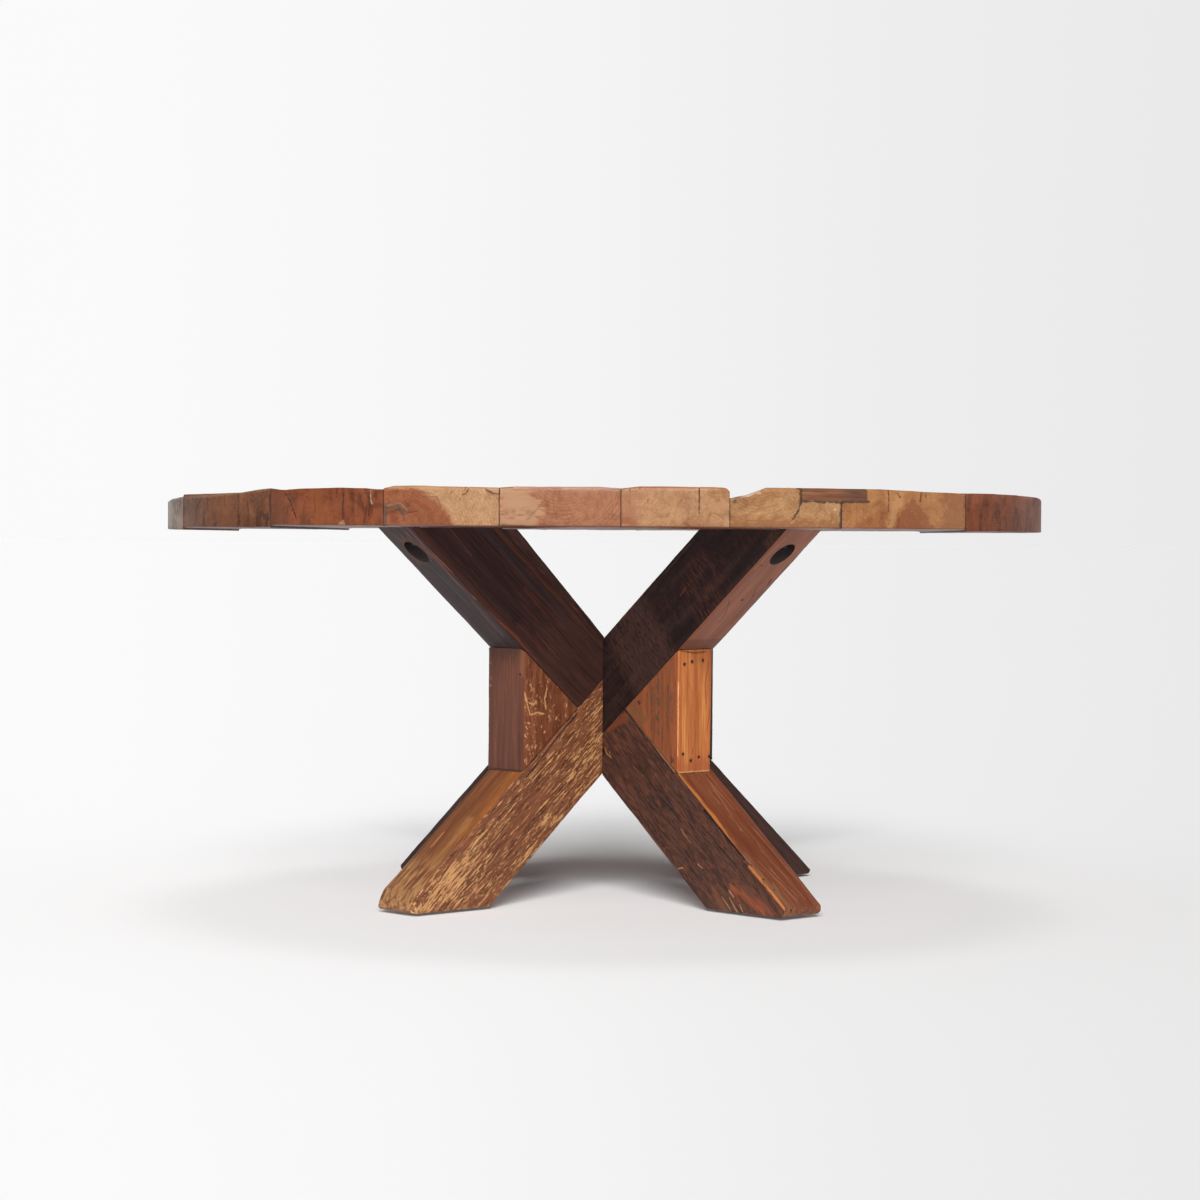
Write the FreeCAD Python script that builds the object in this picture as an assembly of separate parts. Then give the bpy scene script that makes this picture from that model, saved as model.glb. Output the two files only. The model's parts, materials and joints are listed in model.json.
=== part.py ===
import FreeCAD, Part
import math
import os

from FreeCAD import Vector

# Round dining table of heavy reclaimed timber on a sawbuck base: two upright X-shaped frames that cross at
# a right angle, a thick round top of planks side by side, and a wedge-shaped block in each outer notch.
# Millimetres, +Z up. The origin is on the floor under the middle of the top, the front is -Y, the planks
# run along Y and the two frames stand on the diagonals.

# The table as a whole
TABLE_HEIGHT = 762.0  # floor to the top of the highest plank
TOP_RADIUS = 822.0
TOP_THICKNESS = 68.0

# Planks, from left to right. What their widths leave over or lack across the top is shared out equally.
PLANK_WIDTHS = (76.0, 193.0, 207.0, 196.0, 199.0, 178.0, 187.0, 222.0, 186.0)
PLANK_DROPS = (12.0, 7.0, 4.0, 0.5, 2.5, 0.0, 1.0, 1.0, 4.0)  # top of each plank below the highest one
PLANK_HANGS = (7.0, 3.5, 0.0, 0.0, 0.0, 0.0, 0.0, 0.0, 3.0)  # underside of each plank below those on the arms
SEAM_ARRIS = 2.0  # worn long edge of each plank
RIM_TOP_ROUNDING = 7.0
RIM_UNDER_ROUNDING = 3.0

# Loose tongues that key each plank to the next, stopped before the rim
TONGUE_WIDTH = 20.0
TONGUE_THICKNESS = 10.0
TONGUE_STOP = 25.0  # wood left between the tongue's corner and the rim
TONGUE_FIT = 0.2

# Hollow worn along one plank, from its left edge
WANE_PLANK = 7
WANE_WIDTH = 54.0
WANE_DEPTH = 14.0
WANE_BELLY = 4.0  # how far the hollow bows below a straight slope

# Repair let into the front rim, over the left seam of one plank
PATCH_PLANK = 8
PATCH_LENGTH = 128.0
PATCH_INSET = 26.0
PATCH_HEIGHT = 21.0
PATCH_LEAD = 10.0  # from its middle to the seam on its right
PATCH_DROP = 1.0  # its top below the highest plank

# Timbers of the two X-frames
BRACE_THICKNESS = 97.0  # across the frame
BRACE_DEPTH = 141.0  # in the plane of the frame, square to the timber's length
BRACE_SLOPE = 39.3  # degrees above level
CROSSING_HEIGHT = 360.0
BRACE_ARRIS = 3.0
BACK_LEFT_LEG_EXTRA = 14.0  # this timber is wider than the others by so much, all on its left
TOE_HEIGHTS = (27.0, 20.0, 10.0, 14.0)  # upright cut at the tip of each foot, in the order of CORNERS
TOE_ROUNDING = 12.0

# Knee blocks, which fill the outer notch of each X
KNEE_FACE_HEIGHT = 227.0

# Dowels that pin the half-lap of the through frame and carry the timbers of the other frame
CROSS_DOWEL_DIAMETER = 20.0
CROSS_DOWEL_SPREAD = 25.0  # from the middle of the crossing to each dowel
CROSS_DOWEL_BITE = 45.0  # into the timber on each side
END_DOWEL_DIAMETER = 16.0
END_DOWEL_REACH = 38.0  # into each of the two timbers

# Lag bolts that hold the top, in counterbores drilled up into the sloping outer face of each arm
BOLT_INSET = 56.0  # from the arm's outer tip
BOLT_DIAMETER = 12.0
BOLT_CLEARANCE = 1.0  # on the diameter, through the arm
BOLT_HEAD_ACROSS_FLATS = 19.0
BOLT_HEAD_HEIGHT = 8.0
BOLT_TIP_COVER = 15.0  # wood left above the tip
SEAT_COVER = 22.0  # timber left between the counterbore's seat and the top
COUNTERBORE_DIAMETER = 45.0
WASHER_DIAMETER = 37.0
WASHER_THICKNESS = 3.0

# Nails that hold the knee blocks: distance from the block's left edge, and from its upper or its lower end
UPPER_NAILS_ACROSS = (16.5, 36.5, 64.5)
UPPER_NAIL_INSETS = (27.0, 23.0, 21.0)
LOWER_NAILS_ACROSS = (14.5, 34.5, 55.5, 82.5)
LOWER_NAIL_INSETS = (35.0, 22.0, 28.0, 28.0)
NAIL_DIAMETER = 3.4
NAIL_LENGTH = 65.0
NAIL_HEAD_DIAMETER = 6.0
NAIL_HEAD_THICKNESS = 1.5
NAIL_SET = 1.0  # head punched below the face

# Nail-on glides under the feet
GLIDE_DIAMETER = 28.0
GLIDE_INSET = 90.0  # from the foot's heel to the glide's middle
GLIDE_THICKNESS = 6.0
GLIDE_EDGE = 1.0
GLIDE_RECESS = 2.5  # hollow that keeps the nail's head off the floor
PIN_DIAMETER = 2.8
PIN_HEAD_DIAMETER = 8.0
PIN_HEAD_THICKNESS = 1.2
PIN_BITE = 20.0  # into the foot

FIT = 0.1  # all round, between a dowel, bolt, nail or washer and what it sits in

# Worked out from the sizes above
UNDERSIDE = TABLE_HEIGHT - TOP_THICKNESS
SLOPE = math.tan(math.radians(BRACE_SLOPE))
HALF_BRACE = BRACE_THICKNESS / 2
HALF_UPRIGHT = BRACE_DEPTH / 2 / math.cos(math.radians(BRACE_SLOPE))  # half the depth, measured upright
NOTCH_REACH = HALF_UPRIGHT / SLOPE  # axis to the corner of each notch of the X
KNEE_REACH = NOTCH_REACH + KNEE_FACE_HEIGHT / 2 / SLOPE
KNEE_TOP = CROSSING_HEIGHT + KNEE_FACE_HEIGHT / 2
KNEE_BOTTOM = CROSSING_HEIGHT - KNEE_FACE_HEIGHT / 2
ARM_REACH = (UNDERSIDE - CROSSING_HEIGHT + HALF_UPRIGHT) / SLOPE
GLIDE_REACH = (CROSSING_HEIGHT - HALF_UPRIGHT - GLIDE_THICKNESS) / SLOPE + GLIDE_INSET
BOLT_REACH = ARM_REACH - BOLT_INSET
SEAT_HEIGHT = UNDERSIDE - SEAT_COVER
BOLT_TIP = TABLE_HEIGHT - max(PLANK_DROPS) - BOLT_TIP_COVER
BEYOND = TOP_RADIUS + TABLE_HEIGHT  # further than any piece reaches

# Where each quarter of the base points, in degrees from +X. The through frame runs from front left to back
# right, and the butted frame from front right to back left.
CORNERS = {"front_left": 225.0, "front_right": 315.0, "back_right": 45.0, "back_left": 135.0}
THROUGH_FRAME = CORNERS["front_left"]
BUTTED_FRAME = CORNERS["front_right"]
TOE_HEIGHT_AT = dict(zip(CORNERS, TOE_HEIGHTS))

ORIGIN = Vector(0, 0, 0)
CROSSING = Vector(0, 0, CROSSING_HEIGHT)
X_AXIS = Vector(1, 0, 0)
Y_AXIS = Vector(0, 1, 0)
Z_AXIS = Vector(0, 0, 1)


def turned(shape, degrees, about=ORIGIN, axis=Z_AXIS):
    """A copy turned about a line, the table's own axis unless another is given."""
    copy = shape.copy()
    copy.rotate(about, axis, degrees)
    return copy


def block(low, high):
    """A box between two opposite corners."""
    return Part.makeBox(*(high - low), low)


def prism(edges, sweep):
    """A solid from a closed outline, swept straight."""
    return Part.Face(Part.Wire(edges)).extrude(sweep)


def polygon(points):
    """Straight edges through the points and back to the first."""
    return Part.makePolygon(list(points) + [points[0]]).Edges


def fillet_where(solid, radius, wanted):
    """Rounds the edges for which wanted(edge) is true."""
    return solid.makeFillet(radius, [edge for edge in solid.Edges if wanted(edge)])


def drilled(solid, holes):
    """The solid without the holes that reach it."""
    near = [hole for hole in holes if hole.BoundBox.intersect(solid.BoundBox)]
    return solid.cut(near) if near else solid


# ---- The top -----------------------------------------------------------------------------------------


def left_seam(plank):
    """X of the seam on the left of a plank, counted from 1."""
    share = (2 * TOP_RADIUS - sum(PLANK_WIDTHS)) / len(PLANK_WIDTHS)
    return sum(PLANK_WIDTHS[: plank - 1]) + (plank - 1) * share - TOP_RADIUS


def rim_corner(level, rounding, inwards):
    """Profile points of a worn rim: two bevels that meet on the arc they stand for, from the outside in."""
    shoulder = rounding * (1 - math.sqrt(0.5))
    return [
        Vector(TOP_RADIUS, 0, level + inwards * rounding),
        Vector(TOP_RADIUS - shoulder, 0, level + inwards * shoulder),
        Vector(TOP_RADIUS - rounding, 0, level),
    ]


def rounded_disc(low, high):
    """The round outline of the top between two levels, with its worn upper and lower rim."""
    under = rim_corner(low, RIM_UNDER_ROUNDING, 1)[::-1]
    upper = rim_corner(high, RIM_TOP_ROUNDING, -1)
    profile = [Vector(0, 0, low)] + under + upper + [Vector(0, 0, high)]
    return Part.Face(Part.Wire(polygon(profile))).revolve(ORIGIN, Z_AXIS, 360)


def rough_plank(left, right, low, high):
    """A plank between two seams, sawn round at its ends, with its two long upper edges worn."""
    section = [
        Vector(left, -BEYOND, low),
        Vector(right, -BEYOND, low),
        Vector(right, -BEYOND, high - SEAM_ARRIS),
        Vector(right - SEAM_ARRIS, -BEYOND, high),
        Vector(left + SEAM_ARRIS, -BEYOND, high),
        Vector(left, -BEYOND, high - SEAM_ARRIS),
    ]
    return prism(polygon(section), Y_AXIS * 2 * BEYOND).common(rounded_disc(low, high))


def tongue(seam, fit=0.0):
    """A loose tongue at a seam, its corners inside the rim, or with a fit the groove that takes it."""
    corner = abs(seam) + TONGUE_WIDTH / 2
    half_length = math.sqrt((TOP_RADIUS - TONGUE_STOP) ** 2 - corner**2)
    half = Vector(TONGUE_WIDTH / 2 + fit, half_length + fit, TONGUE_THICKNESS / 2 + fit)
    middle = Vector(seam, 0, UNDERSIDE + TOP_THICKNESS / 2)
    return block(middle - half, middle + half)


def wane():
    """The worn hollow along one seam, as the solid that it takes away."""
    near = left_seam(WANE_PLANK)
    outline = [
        Vector(near, -BEYOND, TABLE_HEIGHT),
        Vector(near, -BEYOND, TABLE_HEIGHT - WANE_DEPTH),
        Vector(near + WANE_WIDTH / 2, -BEYOND, TABLE_HEIGHT - WANE_DEPTH / 2 - WANE_BELLY),
        Vector(near + WANE_WIDTH, -BEYOND, TABLE_HEIGHT),
    ]
    return prism(polygon(outline), Y_AXIS * 2 * BEYOND)


def patch_pocket():
    """The pocket of the rim repair: a box square to the rim, open to the front and to the top."""
    middle = left_seam(PATCH_PLANK) - PATCH_LEAD
    azimuth = math.degrees(math.acos(middle / TOP_RADIUS))
    low = Vector(TOP_RADIUS - PATCH_INSET, -PATCH_LENGTH / 2, TABLE_HEIGHT - PATCH_HEIGHT)
    high = Vector(BEYOND, PATCH_LENGTH / 2, TABLE_HEIGHT)
    return turned(block(low, high), -azimuth)


def build_top(bolt_holes):
    """Planks, tongues and the rim repair, by name."""
    seams = [left_seam(plank) for plank in range(2, len(PLANK_WIDTHS) + 1)]
    edges = [-BEYOND] + seams + [BEYOND]
    pocket = patch_pocket()
    grooves = [tongue(seam, TONGUE_FIT) for seam in seams]
    cuts = [wane(), pocket] + grooves + bolt_holes
    pieces = {}
    for number, (left, right, hang, drop) in enumerate(zip(edges, edges[1:], PLANK_HANGS, PLANK_DROPS), 1):
        plank = rough_plank(left, right, UNDERSIDE - hang, TABLE_HEIGHT - drop)
        pieces[f"plank_{number}"] = drilled(plank, cuts)
    for number, seam in enumerate(seams, 1):
        pieces[f"tongue_{number}"] = drilled(tongue(seam), bolt_holes)
    pieces["rim_patch"] = pocket.common(rounded_disc(UNDERSIDE, TABLE_HEIGHT - PATCH_DROP))
    return pieces


# ---- The base ----------------------------------------------------------------------------------------
# Each timber is made in its frame's own plane: X runs outwards from the table's axis and Y across the frame.


def timber(rising, arris, extra=0.0):
    """A rough timber through the crossing, that rises or falls towards +X; extra widens its -Y side."""
    length = 2 * BEYOND
    half = Vector(length / 2, HALF_BRACE, BRACE_DEPTH / 2)
    bar = block(CROSSING - half - Y_AXIS * extra, CROSSING + half)
    if arris:
        bar = fillet_where(bar, arris, lambda edge: edge.BoundBox.XLength > length / 2)
    return turned(bar, -BRACE_SLOPE if rising else BRACE_SLOPE, CROSSING, Y_AXIS)


def toe_reach(corner):
    """From the table's axis to the upright cut at the tip of a foot."""
    return (CROSSING_HEIGHT + HALF_UPRIGHT - GLIDE_THICKNESS - TOE_HEIGHT_AT[corner]) / SLOPE


def trim_box(corner_ahead, corner_behind):
    """What a frame's timbers are trimmed to: level under the top and at the floor, upright at the toes."""
    arms = block(Vector(-BEYOND, -BEYOND, CROSSING_HEIGHT), Vector(BEYOND, BEYOND, UNDERSIDE))
    ahead, behind = toe_reach(corner_ahead), toe_reach(corner_behind)
    legs = block(Vector(-behind, -BEYOND, GLIDE_THICKNESS), Vector(ahead, BEYOND, CROSSING_HEIGHT))
    legs = fillet_where(
        legs,
        TOE_ROUNDING,
        lambda edge: edge.BoundBox.ZMax < CROSSING_HEIGHT and edge.BoundBox.YLength > BEYOND,
    )
    return arms.fuse(legs)


def beyond_face(side):
    """Everything past the through frame's face, on the +X or the -X side of the butted frame."""
    low = Vector(HALF_BRACE, -BEYOND, -BEYOND)
    high = Vector(2 * BEYOND, BEYOND, BEYOND)
    return turned(block(low, high), 0 if side > 0 else 180)


def build_braces():
    """The two half-lapped through timbers, and the four that butt on them, by name."""
    rising, falling = timber(True, BRACE_ARRIS), timber(False, BRACE_ARRIS)
    square_rising, square_falling = timber(True, 0), timber(False, 0)
    right_half = block(Vector(-BEYOND, 0, -BEYOND), Vector(BEYOND, BEYOND, BEYOND))
    through = trim_box("front_left", "back_right")
    butted = trim_box("front_right", "back_left")
    whole = rising.common(butted)
    wider = timber(True, BRACE_ARRIS, BACK_LEFT_LEG_EXTRA).common(butted)
    severed = falling.common(butted).cut(square_rising)
    lapped_falling = falling.common(through).cut(square_rising.cut(right_half))
    lapped_rising = rising.common(through).cut(square_falling.common(right_half))
    return {
        "long_brace_front_left_foot": turned(lapped_falling, THROUGH_FRAME),
        "long_brace_back_right_foot": turned(lapped_rising, THROUGH_FRAME),
        "arm_front_right": turned(whole.common(beyond_face(1)), BUTTED_FRAME),
        "leg_back_left": turned(wider.common(beyond_face(-1)), BUTTED_FRAME),
        "leg_front_right": turned(severed.common(beyond_face(1)), BUTTED_FRAME),
        "arm_back_left": turned(severed.common(beyond_face(-1)), BUTTED_FRAME),
    }


def knee_block():
    """A triangular block in the notch that points along +X, its upright outer edges worn like the timbers."""
    outline = [
        Vector(NOTCH_REACH, -HALF_BRACE, CROSSING_HEIGHT),
        Vector(KNEE_REACH, -HALF_BRACE, KNEE_BOTTOM),
        Vector(KNEE_REACH, -HALF_BRACE, KNEE_TOP),
    ]
    wedge = prism(polygon(outline), Y_AXIS * BRACE_THICKNESS)
    return fillet_where(wedge, BRACE_ARRIS, lambda edge: edge.BoundBox.ZLength > KNEE_FACE_HEIGHT / 2)


def cross_dowels(fit=0.0):
    """Dowels across the half-lap and into the butted timbers on both sides, or the holes that take them."""
    length = BRACE_THICKNESS + 2 * (CROSS_DOWEL_BITE + fit)
    radius = CROSS_DOWEL_DIAMETER / 2 + fit
    return [
        turned(Part.makeCylinder(radius, length, CROSSING + Vector(-length / 2, y, 0), X_AXIS), BUTTED_FRAME)
        for y in (-CROSS_DOWEL_SPREAD, CROSS_DOWEL_SPREAD)
    ]


def end_dowels(fit=0.0):
    """Dowels that pin each cut timber of the butted frame to the one it is cut against, or their holes."""
    middle = (HALF_BRACE + NOTCH_REACH) / 2
    joint = Vector(middle, 0, CROSSING_HEIGHT + SLOPE * middle - HALF_UPRIGHT)
    angle = math.radians(BRACE_SLOPE)
    outwards = Vector(math.sin(angle), 0, -math.cos(angle))
    reach = END_DOWEL_REACH + fit
    dowel = Part.makeCylinder(END_DOWEL_DIAMETER / 2 + fit, 2 * reach, joint - outwards * reach, outwards)
    return [turned(turned(dowel, turn, CROSSING, Y_AXIS), BUTTED_FRAME) for turn in (0, 180)]


# ---- Bolts, nails and glides -------------------------------------------------------------------------
# Each is made on the +X side, and a copy is turned to every corner.


def at_corners(shapes):
    """Copies of the shapes at each corner of the base, as one list."""
    return [turned(shape, azimuth) for azimuth in CORNERS.values() for shape in shapes]


def upright_cylinder(diameter, low, high, reach):
    """A cylinder that stands at a distance from the table's axis."""
    return Part.makeCylinder(diameter / 2, high - low, Vector(reach, 0, low))


def lag_bolt():
    """A hexagon-headed lag bolt, head down in the counterbore and thread up in the plank."""
    under_head = SEAT_HEIGHT - WASHER_THICKNESS
    corner = BOLT_HEAD_ACROSS_FLATS / 2 / math.cos(math.radians(30))
    hexagon = [
        Vector(BOLT_REACH + corner * math.cos(math.radians(turn)), corner * math.sin(math.radians(turn)),
               under_head - BOLT_HEAD_HEIGHT)
        for turn in range(0, 360, 60)
    ]
    head = prism(polygon(hexagon), Z_AXIS * BOLT_HEAD_HEIGHT)
    return head.fuse(upright_cylinder(BOLT_DIAMETER, under_head, BOLT_TIP, BOLT_REACH))


def washer():
    """A plain washer on the counterbore's seat."""
    low = SEAT_HEIGHT - WASHER_THICKNESS
    plate = upright_cylinder(WASHER_DIAMETER, low, SEAT_HEIGHT, BOLT_REACH)
    return plate.cut(upright_cylinder(BOLT_DIAMETER + BOLT_CLEARANCE, low, SEAT_HEIGHT, BOLT_REACH))


def bolt_holes_in_arm():
    """The counterbore, and the clearance hole above it."""
    return [
        upright_cylinder(COUNTERBORE_DIAMETER, CROSSING_HEIGHT, SEAT_HEIGHT, BOLT_REACH),
        upright_cylinder(BOLT_DIAMETER + BOLT_CLEARANCE, CROSSING_HEIGHT, UNDERSIDE, BOLT_REACH),
    ]


def bolt_hole_in_plank():
    """The pilot hole that the thread bites into."""
    return [upright_cylinder(BOLT_DIAMETER + 2 * FIT, UNDERSIDE, BOLT_TIP + FIT, BOLT_REACH)]


def knee_nails(fit=0.0):
    """Nails driven level through a knee block's outer face, or with a fit the holes that they leave."""
    spots = [(across, KNEE_TOP - inset) for across, inset in zip(UPPER_NAILS_ACROSS, UPPER_NAIL_INSETS)]
    spots += [(across, KNEE_BOTTOM + inset) for across, inset in zip(LOWER_NAILS_ACROSS, LOWER_NAIL_INSETS)]
    head_face = KNEE_REACH - NAIL_SET
    head_end = BEYOND if fit else head_face
    nails = []
    for across, z in spots:
        y = across - HALF_BRACE
        head_start = Vector(head_face - NAIL_HEAD_THICKNESS - fit, y, z)
        head = Part.makeCylinder(NAIL_HEAD_DIAMETER / 2 + fit, head_end - head_start.x, head_start, X_AXIS)
        tip = Vector(head_face - NAIL_LENGTH - fit, y, z)
        shank = Part.makeCylinder(NAIL_DIAMETER / 2 + fit, head_start.x - tip.x, tip, X_AXIS)
        nails.append(head.fuse(shank))
    return nails


def glide():
    """A round nylon glide, hollowed below for the head of its nail."""
    disc = upright_cylinder(GLIDE_DIAMETER, 0, GLIDE_THICKNESS, GLIDE_REACH)
    disc = fillet_where(disc, GLIDE_EDGE, lambda edge: edge.BoundBox.ZMax < GLIDE_EDGE)
    recess = upright_cylinder(PIN_HEAD_DIAMETER + 2 * FIT, 0, GLIDE_RECESS, GLIDE_REACH)
    return disc.cut([recess, upright_cylinder(PIN_DIAMETER + 2 * FIT, 0, GLIDE_THICKNESS, GLIDE_REACH)])


def glide_nail():
    """The nail of a glide, its head up against the glide's recess."""
    head = upright_cylinder(PIN_HEAD_DIAMETER, GLIDE_RECESS - PIN_HEAD_THICKNESS, GLIDE_RECESS, GLIDE_REACH)
    return head.fuse(upright_cylinder(PIN_DIAMETER, GLIDE_RECESS, GLIDE_THICKNESS + PIN_BITE, GLIDE_REACH))


def glide_nail_hole():
    """The hole that a glide's nail leaves in the foot."""
    return [upright_cylinder(PIN_DIAMETER + 2 * FIT, 0, GLIDE_THICKNESS + PIN_BITE + FIT, GLIDE_REACH)]


def build_base():
    """Timbers and knee blocks with all their holes, by name."""
    pieces = build_braces()
    for corner, azimuth in CORNERS.items():
        pieces[f"knee_block_{corner}"] = turned(knee_block(), azimuth)
    holes = cross_dowels(FIT) + end_dowels(FIT)
    holes += at_corners(bolt_holes_in_arm() + knee_nails(FIT) + glide_nail_hole())
    return {name: drilled(piece, holes) for name, piece in pieces.items()}


def build_hardware():
    """Dowels, bolts, washers, nails and glides, by name."""
    pieces = {
        "cross_dowels": Part.makeCompound(cross_dowels()),
        "end_dowels": Part.makeCompound(end_dowels()),
        "lag_bolts": Part.makeCompound(at_corners([lag_bolt()])),
        "washers": Part.makeCompound(at_corners([washer()])),
        "glide_nails": Part.makeCompound(at_corners([glide_nail()])),
    }
    for corner, azimuth in CORNERS.items():
        pieces[f"knee_nails_{corner}"] = Part.makeCompound([turned(nail, azimuth) for nail in knee_nails()])
        pieces[f"glide_{corner}"] = turned(glide(), azimuth)
    return pieces


table = build_top(at_corners(bolt_hole_in_plank()))
table.update(build_base())
table.update(build_hardware())
os.makedirs("parts", exist_ok=True)
for node, shape in table.items():
    shape.exportStep(f"parts/{node}.step")
    print(node, len(shape.Solids), "solids", round(shape.Volume), "mm3, valid:", shape.isValid())
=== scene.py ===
import json
import math
import random

import bmesh
import bpy
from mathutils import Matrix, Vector

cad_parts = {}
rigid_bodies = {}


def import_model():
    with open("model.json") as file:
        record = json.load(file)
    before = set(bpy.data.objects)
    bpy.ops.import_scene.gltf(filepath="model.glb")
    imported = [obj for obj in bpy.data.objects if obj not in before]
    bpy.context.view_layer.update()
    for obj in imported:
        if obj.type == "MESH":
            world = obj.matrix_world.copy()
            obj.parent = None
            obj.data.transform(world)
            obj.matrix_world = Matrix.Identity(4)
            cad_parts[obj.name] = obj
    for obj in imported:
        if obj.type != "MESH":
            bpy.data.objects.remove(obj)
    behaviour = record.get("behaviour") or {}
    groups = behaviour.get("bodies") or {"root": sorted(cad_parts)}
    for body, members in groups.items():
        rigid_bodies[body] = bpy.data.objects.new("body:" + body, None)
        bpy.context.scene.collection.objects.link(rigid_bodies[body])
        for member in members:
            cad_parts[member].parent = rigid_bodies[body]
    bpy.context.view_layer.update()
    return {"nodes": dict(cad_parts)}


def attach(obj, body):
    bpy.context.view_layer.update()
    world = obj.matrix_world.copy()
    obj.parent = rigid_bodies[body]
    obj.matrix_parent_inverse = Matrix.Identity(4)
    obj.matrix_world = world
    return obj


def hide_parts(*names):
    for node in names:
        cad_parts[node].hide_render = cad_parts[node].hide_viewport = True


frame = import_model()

# ---- Long braces -------------------------------------------------------------------------------------
# Two heavy reclaimed hardwood timbers that cross in one X from front left to back right, half-lapped where
# they meet. Sawn square, their long edges eased by use, waxed over the old weathered faces.

SLOPE = math.radians(39.3)
CROSSING = 0.36
HALF_WIDTH, HALF_DEPTH = 0.0485, 0.0705
UNDER_TOP, UNDER_FEET = 0.694, 0.006
THROUGH, BUTTED = math.radians(225), math.radians(315)
FIT = 0.0002  # what is left free on each side of a joint
ARRIS = 0.006  # how far from a long edge the wear of the arrises reaches
CUTS_ALONG, CUTS_ACROSS, CUTS_DOWN = (15, 15), 14, 21  # how finely a timber is divided for the wear
LAP_WASTE, LAP_WASTE_SIDE = 0.06, 0.0301  # thickness of a half-lap's waste, and how far aside its middle is
BORE, BORE_RADIUS, BORE_DEPTH, BORE_MIDDLE = 0.463376, 0.0225, 0.172, 0.586  # BORE is how far out it stands
TOE_FRONT_LEFT, TOE_BACK_RIGHT = 0.51082, 0.53159
chance = random.Random(7)


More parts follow.
